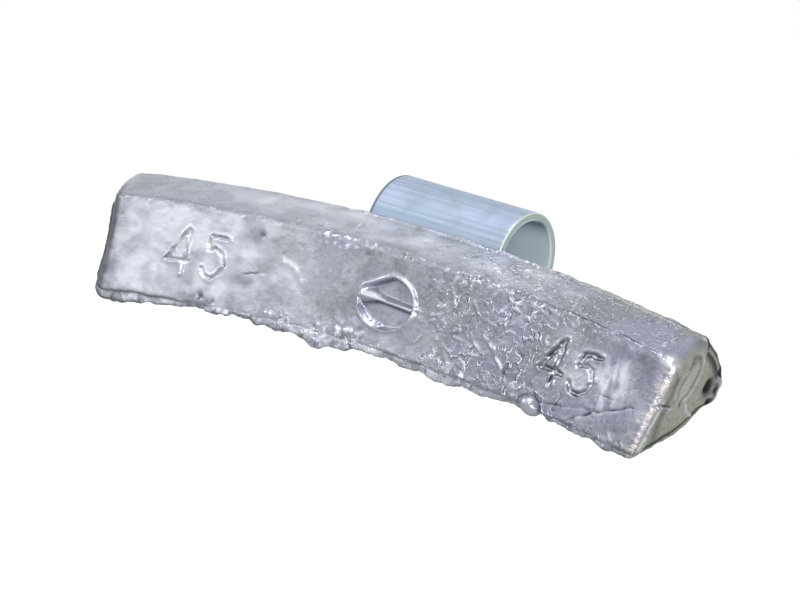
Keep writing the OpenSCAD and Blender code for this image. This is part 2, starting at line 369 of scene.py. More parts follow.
# pits: (u, h, radius, depth)
frontPits = [
    (-13.65, -1.55, 0.30, 0.16), (-27.4, -2.6, 0.40, 0.06), (-11.0, -2.75, 0.20, 0.08),
    (-18.95, -7.85, 0.38, 0.30),
    (-17.4, -8.1, 0.30, 0.18), (-29.0, -1.75, 0.30, 0.10), (-10.3, -8.7, 0.25, 0.15), (4.5, -2.1, 0.25, 0.10),
    (5.8, -2.9, 0.22, 0.10), (0.9, -0.2, 0.22, 0.12), (1.7, -0.25, 0.18, 0.10), (-2.6, -1.0, 0.25, 0.08),
    (6.6, -5.4, 0.2, 0.07), (-1.2, -7.3, 0.3, 0.14), (-6.0, -8.1, 0.25, 0.10), (8.4, -5.1, 0.25, 0.09),
    (14.2, -6.9, 0.25, 0.14), (16.2, -3.9, 0.3, 0.08), (20.3, -8.0, 0.2, 0.08), (26.6, -1.0, 0.5, 0.06),
]
slopePits = [
    (3.0, 3.7, 0.25, 0.12), (6.0, 3.5, 0.35, 0.10), (1.0, 3.0, 0.2, 0.08), (13.2, 0.0, 0.2, 0.12),
    (-8.6, 1.0, 0.25, 0.12), (8.6, 0.2, 0.25, 0.12), (-4.9, 1.4, 0.2, 0.06), (10.6, 3.0, 0.25, 0.08),
]

recess = {
    "centre": (0.62, -4.60),
    "halfSize": (2.86, 2.30),
    "chordTurn": 122,         # degrees, where the round outline is cut straight
    "chordAt": 0.84,
    "wall": 0.10,             # width of the steep wall
    "wideWall": 0.52,         # and at the lower left, where it is a broad bright crescent
    "wideAt": -108,           # degrees
    "depth": 0.60,
    "rim": 0.26,
    "barFrom": (-2.35, -4.36),
    "barTo": (3.55, -4.60),
    "barHeight": 0.60,
    "upperFlank": (0.55, 0.55),   # how wide the bar's flank is, and more towards the left
    "lowerFlank": (0.22, 0.95),
}

drop = {
    "centre": (17.85, -8.42),
    "halfSize": (1.12, 0.82),
    "backTo": 0.5,            # y of its middle
    "stand": 0.95,            # its half depth
    "lean": -12,              # degrees
    "fields": {"bloomAndHighlight": 0.25, "shine": 1.0},
}

# pale and dull clouds: (u, h, reach along, reach up, how pale), the dull ones are negative
frontClouds = [
    (-25.4, -2.2, 2.2, 1.3, 0.45), (-21.4, -2.1, 2.0, 1.2, 0.30), (-15.4, -5.8, 1.7, 1.9, -0.25),
    (-25.3, -6.6, 2.5, 1.2, 0.20), (-9.8, -3.8, 2.0, 1.4, 0.25), (-7.5, -1.4, 2.5, 1.3, 0.15),
    (-5.8, -5.0, 3.4, 3.2, 0.20), (-13.6, -2.3, 1.6, 1.6, -0.48), (-11.4, -5.4, 1.8, 1.4, -0.35),
    (-13.4, -8.1, 2.0, 0.9, -0.55), (-19.1, -8.0, 1.9, 0.9, -0.75), (-29.3, -0.9, 0.9, 1.1, -0.50),
    (-28.2, -2.4, 1.4, 2.0, -0.50), (-28.6, -7.7, 2.0, 0.9, -0.25), (-20.8, -4.9, 1.6, 1.4, -0.20),
    (-9.6, -1.8, 1.3, 0.9, -0.30), (-10.5, -4.4, 2.0, 0.8, 0.30), (3.9, -0.5, 1.6, 0.6, -0.35),
    (3.0, -8.1, 4.5, 0.9, 0.20), (-6.6, -8.0, 2.3, 0.9, 0.35), (1.2, -7.4, 1.6, 0.6, 0.20),
    (-16.3, -7.1, 1.3, 0.7, 0.55), (-16.5, -8.4, 5.0, 0.6, -0.50), (-22.6, -6.4, 1.4, 1.0, -0.15),
    (-29.4, -4.8, 0.8, 4.0, -0.50), (19.7, -2.6, 2.0, 1.5, 0.26),
    (21.9, -4.8, 1.6, 1.6, 0.42), (27.3, -1.3, 1.2, 1.2, -0.65), (27.0, -7.3, 1.8, 1.3, -0.55),
    (24.6, -1.0, 1.8, 0.7, -0.50), (21.2, -8.0, 1.6, 0.6, -0.35), (3.9, -5.6, 1.2, 1.6, 0.15),
    (-13.8, -6.8, 1.0, 1.2, -0.28), (-18.4, -4.0, 1.1, 1.3, -0.22), (-16.7, -0.7, 1.0, 0.5, -0.28),
    (-23.9, -5.4, 1.6, 0.9, -0.22), (15.9, -6.9, 0.9, 0.9, -0.20), (12.5, -7.7, 1.0, 0.6, -0.20),
    (23.0, -7.2, 1.2, 0.8, -0.28), (-11.7, -1.8, 1.0, 0.8, 0.15), (-16.5, -4.0, 0.8, 1.0, 0.22),
    (6.5, -6.3, 1.3, 1.2, 0.28), (25.7, -2.6, 0.7, 1.5, 0.40), (29.2, -8.4, 0.9, 0.9, -0.70),
]
slopeClouds = [
    (-0.9, 2.2, 1.5, 1.0, 0.32), (-16.5, 3.4, 2.2, 1.0, 0.25), (-12.0, 3.8, 3.0, 1.0, 0.40),
    (-5.8, 4.2, 3.0, 1.2, 0.50), (2.5, 3.4, 3.6, 1.3, 0.40), (-0.5, 0.6, 1.6, 0.5, -0.40),
    (8.4, 2.4, 1.8, 1.0, 0.38), (-29.4, 2.4, 1.7, 3.0, -0.35), (-9.0, 1.2, 3.0, 1.0, 0.15),
    (12.5, 3.5, 2.0, 0.8, 0.20),
]


def cutRecess(u, h):
    # the print of the screw that held the mould together: a round floor with the slot's bar across it.
    # Gives its height, the share inside it, and where shade and highlight are painted on it
    r = recess
    du = (u - r["centre"][0]) / r["halfSize"][0]
    dh = (h - r["centre"][1]) / r["halfSize"][1]
    chord = math.radians(r["chordTurn"])
    cut = du * math.cos(chord) + dh * math.sin(chord) - r["chordAt"]
    away = np.maximum(np.hypot(du, dh) - 1, cut) * r["halfSize"][1]
    turn = np.arctan2(dh, du)
    lowerLeft = np.clip(np.cos(turn - math.radians(r["wideAt"])), 0, 1) ** 3
    wall = r["wall"] + r["wideWall"] * lowerLeft
    floor = -r["depth"] * np.clip(-away / wall, 0, 1)
    floor += 0.07 * lowerLeft * bumps(np.stack([u, 0 * u, h], -1), 0.45, 141) * (away < 0)
    rim = r["rim"] * bell(away - 0.20, 0.17) * np.clip(np.cos(turn - 0.45) + 0.25, 0, 1)
    rim += 0.10 * bell(away - 0.13, 0.10)
    rim -= 0.07 * bell(away - 0.55, 0.3) * np.clip(-np.cos(turn - 0.3), 0, 1)
    start, stop = r["barFrom"], r["barTo"]
    line = start[1] + (u - start[0]) * (stop[1] - start[1]) / (stop[0] - start[0])
    leftward = smooth(0.6, -2.2, u)
    upper = r["upperFlank"][0] + r["upperFlank"][1] * leftward
    lower = r["lowerFlank"][0] + r["lowerFlank"][1] * leftward ** 2
    off = h - line
    crest = np.clip(1 - np.where(off > 0, off / upper, -off / lower), 0, 1)
    bar = r["barHeight"] * crest
    floor = np.where(away < 0, np.minimum(np.maximum(floor, -r["depth"] + bar), 0), floor)
    inside = smooth(0.05, -0.05, away)
    # painted shade: inside the rim round the top, outside the rim at the bottom, along the bar's underside
    # and outside the lower left
    dark = 0.60 * bell(away + 0.06, 0.08) * np.clip(np.cos(turn - math.radians(60)) + 0.45, 0, 1)
    dark = np.maximum(dark, 0.45 * bell(away - 0.10, 0.13) * np.clip(np.cos(turn - math.radians(-80)), 0, 1))
    dark = np.maximum(dark, 0.75 * bell(off + 0.6 * lower, 0.16) * inside * smooth(-2.3, -1.6, u))
    dark = np.maximum(dark, 0.30 * bell(np.hypot((u + 2.9) * 1.6, h + 5.4), 1.3) * (1 - inside))
    # painted highlight along the bar's crest, on its upper flank, on the lower left crescent and on the rim
    # at the upper right
    bright = 0.9 * bell(off - 0.05, 0.12) * smooth(0.02, -0.12, away)
    bright = np.maximum(bright, 0.65 * smooth(0.0, 0.1, off) * smooth(upper, 0.6 * upper, off) * inside)
    bright = np.maximum(bright, 0.30 * lowerLeft * bell(away + 0.5 * wall, 0.34 * wall))
    bright = np.maximum(bright, 0.7 * bell(away - 0.20, 0.15) * np.clip(np.cos(turn - 0.45), 0, 1))
    return floor + rim, inside, dark, np.clip(bright, 0, 1)


def plates(a, b, size, seed):
    # skins of metal that froze one over the other: each plate's own height, and the nearness to its edge
    rng = np.random.default_rng(seed)
    acrossA = np.arange(a.min() - size, a.max() + size, size)
    acrossB = np.arange(b.min() - size, b.max() + size, size)
    seedA, seedB = (g.ravel() for g in np.meshgrid(acrossA, acrossB))
    seedA = seedA + rng.uniform(-0.45, 0.45, len(seedA)) * size
    seedB = seedB + rng.uniform(-0.45, 0.45, len(seedB)) * size
    level = rng.uniform(-1, 1, len(seedA))
    first = np.full(len(a), 1e9)
    second = np.full(len(a), 1e9)
    height = np.zeros(len(a))
    for k in range(len(seedA)):
        away = np.hypot(a - seedA[k], b - seedB[k])
        closest = away < first
        second = np.where(closest, first, np.minimum(second, away))
        height = np.where(closest, level[k], height)
        first = np.where(closest, away, first)
    return height, second - first


def foldHeights(a, b, folds, spot):
    # heights of the drawn folds and cracks, how dark the cracks are, and where the crests are painted bright,
    # as rubbed metal and as highlight
    total = np.zeros(len(a))
    cracksAndShade = np.zeros(len(a))
    crestsAndHighlights = np.zeros(len(a))
    a = a + 0.13 * bumps(spot, 0.8, 97)
    b = b + 0.13 * bumps(spot, 0.8, 98)
    worn = np.clip(0.65 + 1.2 * bumps(spot, 0.9, 99), 0.0, 1.2)
    for height, width, points in folds:
        reach = 6 * width
        low = np.min(points, 0) - reach
        high = np.max(points, 0) + reach
        near = (a > low[0]) & (a < high[0]) & (b > low[1]) & (b < high[1])
        away, side = nearLine(a[near], b[near], points)
        if height > 0:
            total[near] += height * worn[near] * bell(away, width)
            total[near] -= 0.25 * height * bell(side + 2.0 * width, 1.1 * width) * (away < 4 * width)
            crestsAndHighlights[near] = np.maximum(crestsAndHighlights[near], 1.2 * worn[near] * bell(away, 0.65 * width))
        else:
            total[near] += 0.5 * height * bell(away, width)
            cracksAndShade[near] = np.maximum(cracksAndShade[near], worn[near] * bell(away, 0.9 * width))
    return total, np.clip(cracksAndShade, 0, 1), np.clip(crestsAndHighlights, 0, 1)


def pitDepths(a, b, pits):
    # depths of the pits and how dark they are
    total = np.zeros(len(a))
    dark = np.zeros(len(a))
    for pa, pb, radius, depth in pits:
        hollow = bell(np.hypot(a - pa, b - pb), radius)
        total -= depth * hollow
        dark = np.maximum(dark, min(1, depth / 0.16) * hollow)
    return total, 0.7 * dark


def cloudShade(a, b, clouds, spot):
    # how pale the drawn clouds make each point, with wandering edges
    total = np.zeros(len(a))
    a = a + layered(spot, [(0.8, 2.2, 121), (0.3, 0.8, 122)])
    b = b + layered(spot, [(0.6, 2.2, 123), (0.3, 0.8, 124)])
    for ca, cb, reachA, reachB, amount in clouds:
        total += amount * bell(np.hypot((a - ca) / reachA, (b - cb) / reachB), 1.0)
    return total


# how the lead froze on the two faces; four numbers are (height, what crumpled lead adds, size, seed), in mm
frontSkin = {
    "swell": (0.035, 0.020, 4.5, 11),
    "ripple": (0.014, 0.010, 1.3, 21),
    "crease": (0.010, 0.018, 0.9, 41),
    "warp": (1.6, (31, None, 32)),             # size, and a seed for each way
    "plates": (1.25, 0.55, (35, 36, 37)),      # size, how far their edges wander, seeds
    "plateStep": 0.035,                        # how high one stands over the next
    "plateEdge": 0.20,
    "plateRim": 0.09,
    "gate": (0.35, 38),                        # where the plates' rims come and go
    "grain": (0.010, 51),
    "folds": 1.5,                              # the drawn heights are raised by this
    "rimsBright": 0.35,
}
slopeSkin = {
    "swell": (0.030, 0, 4.0, 12),
    "ripple": (0.018, 0.020, 1.2, 22),
    "crease": (0.012, 0.020, 0.9, 42),
    "warp": (1.4, (33, 34, None)),
    "plates": (1.5, 0.45, (43, 44, 45)),
    "plateStep": 0.035,
    "plateEdge": 0.22,
    "plateRim": 0.07,
    "gate": (0.4, 46),
    "grain": (0.018, 52),
    "folds": 1.4,
    "rimsBright": 0.30,
}

# where small beads froze along the bar: (u, reach, share)
topBeads = [(-6, 3.2, 1), (8, 3, 0.7), (14, 3, 0.5)]
lowBeads = [(-2.8, 1.9, 1), (-11.5, 1.6, 0.8), (9, 3, 0.6), (-6, 2, 0.7)]
slopeBeads = [(-6.5, 3, 1), (9, 3.5, 1)]
beadMm = 0.5


def spread(u, places):
    return sum(share * bell(u - at, reach) for at, reach, share in places)


def frozenSkin(a, b, spot, wild, k, folds, pits):
    # what froze on a face, in mm out of it, how dark its cracks and pits are, and where its crests are
    # painted bright, as rubbed metal and as highlight
    height, more, size, seed = k["swell"]
    relief = (height + more * wild) * bumps(spot, size, seed)
    height, more, size, seed = k["ripple"]
    relief += (height + more * wild) * roughBumps(spot, size, seed)
    warpMm, seeds = k["warp"]
    wobble = np.stack([bumps(spot, warpMm, seed) if seed else 0 * a for seed in seeds], -1)
    height, more, size, seed = k["crease"]
    crease = 1 - np.abs(bumps(spot + 0.5 * wobble, size, seed)) * 4.5
    relief += (height + more * wild) * np.clip(crease, 0, 1) ** 2

    # plates of skin, and the rims where one lies over the next
    size, shift, seeds = k["plates"]
    overA, overB = (shift * bumps(spot, 0.9, seed) for seed in seeds[:2])
    level, edge = plates(a + overA, b + overB, size, seeds[2])
    gateTo, seed = k["gate"]
    gate = smooth(0, gateTo, bumps(spot, 1.8, seed))
    steps = k["plateStep"] * level * smooth(0, k["plateEdge"], edge)
    relief += wild * (steps + k["plateRim"] * gate * bell(edge, 0.13))
    height, seed = k["grain"]
    relief += height * roughBumps(spot, 0.40, seed, 2)
    raised, cracksAndShade, crestsAndHighlights = foldHeights(a, b, folds, spot)
    # the rims of the skins are painted bright, as rubbed metal and as highlight
    crestsAndHighlights = np.maximum(crestsAndHighlights, k["rimsBright"] * wild * gate * bell(edge, 0.09))
    hollows, dark = pitDepths(a, b, pits)
    relief += k["folds"] * raised + hollows
    return relief, np.maximum(cracksAndShade, dark), crestsAndHighlights


def cutFigures(u, h, spot):
    # the worn grooves of the figures: their height, the painted shade down their flanks, and their floors
    # painted pearly bright as highlight
    f = figures
    shakeU, shakeH = (f["shake"] * bumps(spot, 0.75, seed) for seed in (92, 93))
    atU, atH = u + shakeU, h + shakeH
    onLeft = u < 0
    width = np.where(onLeft, f["halfWidth"]["left"], f["halfWidth"]["right"])
    width = width * (1 + 0.35 * bumps(spot, 0.7, 94))
    depth = np.where(onLeft, f["depth"]["left"], f["depth"]["right"])
    groove, before, after, lip = (np.zeros(len(u)) for _ in range(4))
    step = f["flankShade"]
    for stroke in figureStrokes["left"] + figureStrokes["right"]:
        away = nearLine(atU, atH, stroke)[0]
        groove = np.maximum(groove, np.clip(1 - away / width, 0, 1))
        lip = np.maximum(lip, bell(away - 1.35 * width, 0.12))
        before = np.maximum(before, bell(nearLine(atU - step, atH + step, stroke)[0], 0.68 * width))
        after = np.maximum(after, bell(nearLine(atU + step, atH - step, stroke)[0], 0.68 * width))
    broken = 0.35 + np.clip(0.6 + 1.3 * bumps(spot, 0.6, 95), 0, 1.2)
    relief = f["lip"] * lip * broken * (groove == 0)
    rough = np.where(onLeft, f["rough"]["left"], f["rough"]["right"])
    floor = rough * bumps(spot, 0.32, 96) - depth * (1 + 0.3 * bumps(spot, 0.6, 91))
    relief += np.minimum(groove * 1.4, 1) * floor

    # painted shade: the left figures are dark down their upper left flank, the right ones down both
    upperLeft = np.clip(after - before, 0, 1)
    lowerRight = np.clip(before - after, 0, 1)
    flankShade = np.where(onLeft, 0.75 * upperLeft, np.maximum(0.95 * upperLeft, 0.8 * lowerRight))
    flankShade = flankShade * np.clip(0.8 + bumps(spot, 0.7, 88), 0.2, 1)
    # the grooves' floors, painted pearly bright as highlight
    floorHighlight = np.where(onLeft, 1.0, 0.95) * np.clip(groove * 1.5, 0, 1) * (1 - flankShade)
    return relief, flankShade, floorHighlight * smooth(-0.30, 0.15, bumps(spot, 0.4, 89))


def frontRelief(u, h, spot):
    # everything that stands on or is cut into the front face, in mm out of the face
    near = np.min([nearLine(u, h, stroke)[0] for stroke in figureStrokes["right"]], axis=0)
    calm = bell(near, 1.0)
    wild = smooth(2.5, 7, u) * smooth(22, 17, u) * (1 - 0.8 * calm)
    relief, cracksAndShade, crestsAndHighlights = frozenSkin(u, h, spot, wild, frontSkin, frontFolds, frontPits)
    ragged = smooth(-7.6, -8.5, h) * (0.35 + 0.65 * smooth(-13.5, -11.5, u) + bell(u + 18.5, 1.6))
    relief += 0.09 * ragged * roughBumps(spot, 0.8, 61)
    top = smooth(-1.3, -0.5, h) * spread(u, topBeads)
    low = smooth(-6.6, -8.0, h) * spread(u, lowBeads)
    # beads along the top and bottom edges, their tops painted bright as highlight
    for band, seed, least, high, gain in ((top, 71, 0.2, 0.30, 4), (low, 72, 0.1, 0.34, 3)):
        beads = band * np.clip(bumps(spot, beadMm, seed) - least, 0, 1)
        relief += high * beads
        crestsAndHighlights = np.maximum(crestsAndHighlights, np.clip(gain * beads, 0, 1))
    # the recess's painted shade and painted highlight, and the figures' painted flank shade and floor
    # highlight, join the cracks and crests
    cut, inside, shade, light = cutRecess(u, h)
    relief = relief * (1 - 0.8 * inside) + cut
    crestsAndHighlights = np.maximum(crestsAndHighlights * (1 - inside), light)
    carved, flankShade, floorHighlight = cutFigures(u, h, spot)
    cracksAndShade = np.maximum.reduce([cracksAndShade, shade, flankShade])
    return relief + carved, cracksAndShade, np.maximum(crestsAndHighlights, floorHighlight), np.maximum(calm, inside)


def slopeRelief(u, s, spot):
    wild = smooth(3, 8, u) * smooth(25, 19, u)
    relief, cracksAndShade, crestsAndHighlights = frozenSkin(u, s, spot, wild, slopeSkin, slopeFolds, slopePits)
    low = smooth(1.6, 0.2, s) * spread(u, slopeBeads) + smooth(3.4, 4.6, s) * bell(u - 8.6, 2.2)
    relief += 0.26 * low * np.clip(bumps(spot, beadMm, 73) - 0.15, 0, 1)
    layers = smooth(27.0, 28.0, u) * smooth(3.6, 4.6, s)
    relief += 0.06 * layers * bumps(np.stack([u, 0.3 * s, 0 * u], -1), 0.32, 82)
    return relief, cracksAndShade, crestsAndHighlights


# marks on the broken end, in mm of (y, h)
endMarks = {
    "lobeLeft": [(2.6, 1.0), (2.1, 0.0), (1.95, -1.0), (2.15, -2.2), (2.5, -3.0)],
    "lobeRight": [(2.9, 1.25), (3.9, 1.3), (4.6, 0.5), (4.9, -0.4), (4.7, -1.3), (4.4, -2.4), (4.2, -3.0)],
    "nick": [(0.3, -3.85), (1.5, -3.78), (2.5, -3.72)],
    "squiggle": [(4.2, -3.0), (4.9, -3.2), (5.4, -3.7), (6.3, -3.95)],
    "lobe": [(3.4, 0.6), (3.4, -0.6), (3.35, -2.0)],
    "dash": [(3.7, -5.6), (4.7, -5.55), (5.2, -5.6)],
    "cavities": [(7.35, -1.15, 0.72, 0.45), (8.35, 0.35, 0.60, 0.28), (8.6, -1.30, 0.28, 0.15),
                 (8.3, -2.5, 0.50, 0.22)],     # (y, h, radius, depth)
    "streak": [(0.85, -3.6), (0.95, -5.0), (0.9, -6.6), (0.75, -7.9)],
    "shade": [(1.5, -1.4), (1.75, -4.3), (2.2, -6.8)],
    "curl": [(8.2, -0.30), (8.9, -0.50), (9.7, -0.90)],
    "lowCurl": [(7.9, -1.9), (8.8, -1.75), (9.7, -2.0)],
}


def endRelief(y, h, spot):
    # the right end, where the bar was broken off its runner
    near = {name: nearLine(y, h, line) for name, line in endMarks.items() if name != "cavities"}
    left, leftSide = near["lobeLeft"]
    right, rightSide = near["lobeRight"]
    squiggle = near["squiggle"][0]
    nick = near["nick"][1]
    onNick = y < 2.8
    lobe = bell(near["lobe"][0], 1.2)
    relief = 0.05 * roughBumps(spot, 2.6, 13) + 0.03 * roughBumps(spot, 0.7, 23)
    relief += 0.15 * bell(left, 0.15) - 0.12 * bell(left - 0.34, 0.16) * (leftSide > 0)
    relief += 0.14 * bell(right, 0.14) - 0.12 * bell(right - 0.36, 0.18) * (rightSide < 0)
    relief += 0.30 * lobe
    relief += -0.20 * bell(nick, 0.09) + 0.15 * bell(nick + 0.22, 0.10) * onNick
    relief += 0.17 * bell(squiggle, 0.12) + 0.07 * bell(near["dash"][0], 0.10)
    low = smooth(-1.2, 0.2, -0.93 * y - h - 1.6)
    relief += 0.12 * low * np.clip(bumps(spot, 0.5, 27), 0, 1)
    # a curl of flash, which is painted bright as highlight further on
    curl = np.maximum(bell(near["curl"][0], 0.26), 0.8 * bell(near["lowCurl"][0], 0.14))
    relief += 0.14 * curl * (1 + 0.8 * bumps(np.stack([0.4 * y, 0 * y, h], -1), 0.3, 83))

    # painted highlight along the raised lines, and painted shade beside them, in the cavities and down the
    # front edge
    lines = np.maximum.reduce([
        0.45 * bell(left, 0.13), 0.9 * bell(right, 0.11), bell(nick + 0.20, 0.10) * onNick,
        bell(squiggle, 0.11), bell(near["streak"][0], 0.30), 0.25 * lobe,
    ])
    dark = 0.45 * np.maximum.reduce([
        bell(left - 0.36, 0.14) * (leftSide > 0), bell(right - 0.4, 0.2) * (rightSide < 0),
        bell(nick, 0.07) * onNick,
    ])
    for atY, atH, radius, depth in endMarks["cavities"]:
        hole = bell(np.hypot((y - atY) * 1.25, h - atH), radius)
        relief -= depth * hole * (1 - 0.8 * curl)
        dark = np.maximum(dark, np.clip(1.5 * hole, 0, 1))
    dark = np.maximum(dark, 0.35 * bell(near["shade"][0], 0.45))
    return relief, dark * (1 - curl), 0.9 * curl, lines


def dropLump(c, d, rings=18, steps=36):
    # the drop that ran out of the mould and froze on the bottom edge: its points and faces
    down = np.linspace(0.06, math.pi - 0.06, rings)
    turn = np.arange(steps) * 2 * math.pi / steps
    across = (np.sin(down)[:, None] * np.cos(turn)).ravel()
    forward = (np.sin(down)[:, None] * np.sin(turn)).ravel()
    up = np.repeat(np.cos(down), steps)
    lean = math.radians(d["lean"])
    across, up = d["halfSize"][0] * across, d["halfSize"][1] * up
    u = d["centre"][0] + across * math.cos(lean) - up * math.sin(lean)
    h = d["centre"][1] + across * math.sin(lean) + up * math.cos(lean)
    points = place(c, u, d["backTo"] + d["stand"] * forward, h)
    points = points + 0.05 * bumps(points, 0.9, 131)[:, None] * np.array([0.3, -1, 0.6])
    grid = np.arange(rings * steps).reshape(rings, steps)
    beside = np.roll(grid, -1, 1)
    faces = np.stack([grid[:-1], beside[:-1], beside[1:], grid[1:]], -1).reshape(-1, 4).tolist()
    faces += [grid[0, ::-1].tolist(), grid[-1].tolist()]
    return points, faces


def castingGrid(c, s):
    # the section's rows laid along the bar, with a rounded edge at each end: u, y and h, a line for each row,
    # and how far each row stands out at the broken end's corner
    leftR = np.full(len(s["y"]), c["leftR"])
    rightR = np.array([c["rightR"][face] for face in s["face"]])
    for _ in range(c["blendRows"]):
        rightR = (np.roll(rightR, 1) + rightR + np.roll(rightR, -1)) / 3
    cornerOut = c["cornerOut"] * smooth(-c["frontH"], -0.5, s["h"]) * smooth(4.0, 0.3, s["y"])
    start = c["leftEnd"] - leftDome(c, s["y"]) + leftR
    stop = c["rightEnd"] + cornerOut - rightR
    share = np.linspace(0, 1, round((c["rightEnd"] - c["leftEnd"]) / c["columnStep"]))
    turns = np.linspace(0, math.pi / 2, c["endSteps"] + 1)[1:]
    left = start[:, None] - leftR[:, None] * np.sin(turns)[::-1]
    middle = start[:, None] + share * (stop - start)[:, None]
    right = stop[:, None] + rightR[:, None] * np.sin(turns)
    u = np.concatenate([left, middle, right], 1)
    inLeft = leftR[:, None] * (1 - np.cos(turns))[::-1]
    inRight = rightR[:, None] * (1 - np.cos(turns))
    inset = np.concatenate([inLeft, 0 * middle, inRight], 1)
    toY = c["capCentre"][0] - s["y"]
    toH = c["capCentre"][1] - s["h"]
    away = np.hypot(toY, toH)
    y = s["y"][:, None] + (toY / away)[:, None] * inset
    h = s["h"][:, None] + (toH / away)[:, None] * inset

    # near the broken end the underside and the nose stand out further
    outY, outH = outward(s["y"], s["h"])
    swell = 0
    for out, atY, atH, reach in c["swells"]:
        swell = swell + out * bell(np.hypot(s["y"] - atY, s["h"] - atH), reach)
    swell = (swell * ((outY > 0) & (outH < 0.25)))[:, None]
    late = smooth(c["rightEnd"] - 6, c["rightEnd"] - 0.8, u)
    return u, y + outY[:, None] * swell * late, h + outH[:, None] * swell * late, cornerOut


def hangFlash(c, s, u, y, h):
    # the flash along the lower edge and the ridge: its depth is measured, its small lobes are seeded.
    # Also gives how the lower edge wanders
    line = np.stack([u[0], 0 * u[0], 0 * u[0]], -1)
    at = u[flash["row"]]
    hang = np.interp(at, *np.array(lowerFlash).T)
    hang = np.maximum(hang + layered(line, flash["lobes"]) * smooth(0, 0.4, hang), flash["least"])
    hang = hang * smooth(c["rightEnd"] + 0.5, c["rightEnd"] - 0.5, at)
    crown = 0.10 + 0.06 * smooth(-8, 6, at) + layered(line, flash["crown"])
    crown = np.clip(crown, 0.02, 0.5) * smooth(c["rightEnd"], c["rightEnd"] - 1, at)
    crown = crown * (0.25 + 0.75 * smooth(-12, -6, at)) * smooth(c["leftEnd"], c["leftEnd"] + 2, at)
    wander = layered(line, flash["wander"])
    nearEdge = smooth(1.1 - c["frontH"], 0.2 - c["frontH"], s["h"]) * (s["y"] < c["lip"] + 0.05)
    h = h + nearEdge[:, None] * wander
    h = h - s["low"][:, None] * hang + s["top"][:, None] * crown
    y = y + s["low"][:, None] * (layered(line, flash["sway"]) * smooth(0.05, 0.5, hang))

    # in the middle of the bar the flash is flush with the front face
    flush = smooth(*flash["flushFrom"], at) * smooth(*flash["flushTo"], at)
    isFlash = s["face"] == "flash"
    y = y - isFlash[:, None] * np.minimum(0.17, s["y"] - 0.03)[:, None] * flush
    return y, h, wander


def endPoints(c, s, y, h, cornerOut, side):
    # the rings that close an end, and its middle: u, y, h, which end, and nearness to the back's edge
    middleY, middleH = c["capCentre"]
    end = c["rightEnd"] if side > 0 else c["leftEnd"]
    isBack = np.isin(s["face"], ("back", "ridge"))
    rings = []
    for ring in range(1, c["capRings"][side]):
        keep = 1 - ring / c["capRings"][side]
        ringY = middleY + (y - middleY) * keep
        ringU = end + cornerOut * keep ** 2 if side > 0 else end - leftDome(c, ringY)
        ringH = middleH + (h - middleH) * keep
        nearBack = isBack * smooth(0.80, 0.94, keep)
        rings.append(np.stack([ringU, ringY, ringH, np.full(len(y), side), nearBack]))
    middleU = end if side > 0 else end - leftDome(c, middleY)
    rings.append(np.array([[middleU], [middleY], [middleH], [side], [0]]))
    return np.concatenate(rings, 1)


def endFaces(edge, first, rings, side):
    # quads between an end's rings, and a fan round its middle point
    inner = first + np.arange((rings - 1) * len(edge)).reshape(rings - 1, -1)
    loops = np.vstack([edge, inner])
    after = np.roll(loops, -1, 1)
    quads = np.stack([loops[:-1], loops[1:], after[1:], after[:-1]], -1).reshape(-1, 4)
    middle = np.full(len(edge), inner[-1, -1] + 1)
    faces = quads.tolist() + np.stack([loops[-1], middle, after[-1]], -1).tolist()
    return faces if side > 0 else [f[::-1] for f in faces]


def castingSkin(c):
    # the casting's smooth skin: its points' places, its faces, and (u, wander) of the lower edge
    s = sectionRows(c)
    u, y, h, cornerOut = castingGrid(c, s)
    y, h, wander = hangFlash(c, s, u, y, h)
    grid = np.arange(u.size).reshape(u.shape)
    below = np.roll(grid, -1, 0)
    faces = np.stack([grid[:, :-1], grid[:, 1:], below[:, 1:], below[:, :-1]], -1).reshape(-1, 4).tolist()
    isBack = np.repeat(np.isin(s["face"], ("back", "ridge")), u.shape[1])
    parts = [np.stack([u.ravel(), y.ravel(), h.ravel(), np.zeros(u.size), isBack])]
    total = u.size
    for side, column in ((-1, 0), (1, -1)):
        parts.append(endPoints(c, s, y[:, column], h[:, column], cornerOut, side))
        faces += endFaces(grid[:, column], total, c["capRings"][side], side)
        total += parts[-1].shape[1]
    return np.concatenate(parts, 1), faces, (u[flash["row"]], wander)


def faceShares(c, skin, normals):
    # how much each point belongs to each face, from the way it faces before anything is cut
    u, y, h, cap = skin[:4]
    turn = u / c["arcRadius"]
    up = normals[:, 0] * np.sin(turn) + normals[:, 2] * np.cos(turn)
    along = normals[:, 0] * np.cos(turn) - normals[:, 2] * np.sin(turn)
    slopeLen = math.hypot(c["slopeRun"], c["slopeRise"])
    slopeOut = (-normals[:, 1] * c["slopeRise"] + up * c["slopeRun"]) / slopeLen
    lowAndFront = smooth(0.3, -0.3, h) * (y < 1.2)
    bottom, lip = -c["frontH"], c["lip"]
    return {
        "along": along,
        "front": smooth(0.75, 0.95, -normals[:, 1]) * (cap == 0),
        "slope": smooth(0.75, 0.95, slopeOut) * (cap == 0),
        "upSlope": (y * c["slopeRun"] + h * c["slopeRise"]) / slopeLen,
        "end": smooth(0.86, 0.99, along) * (u > 0),
        "endEdge": smooth(0.10, 0.35, along) * smooth(0.99, 0.86, along) * lowAndFront * (u > 0),
        "lowEdge": smooth(bottom + 0.15, bottom - 0.05, h) * smooth(lip + 0.1, lip - 0.1, y),
    }


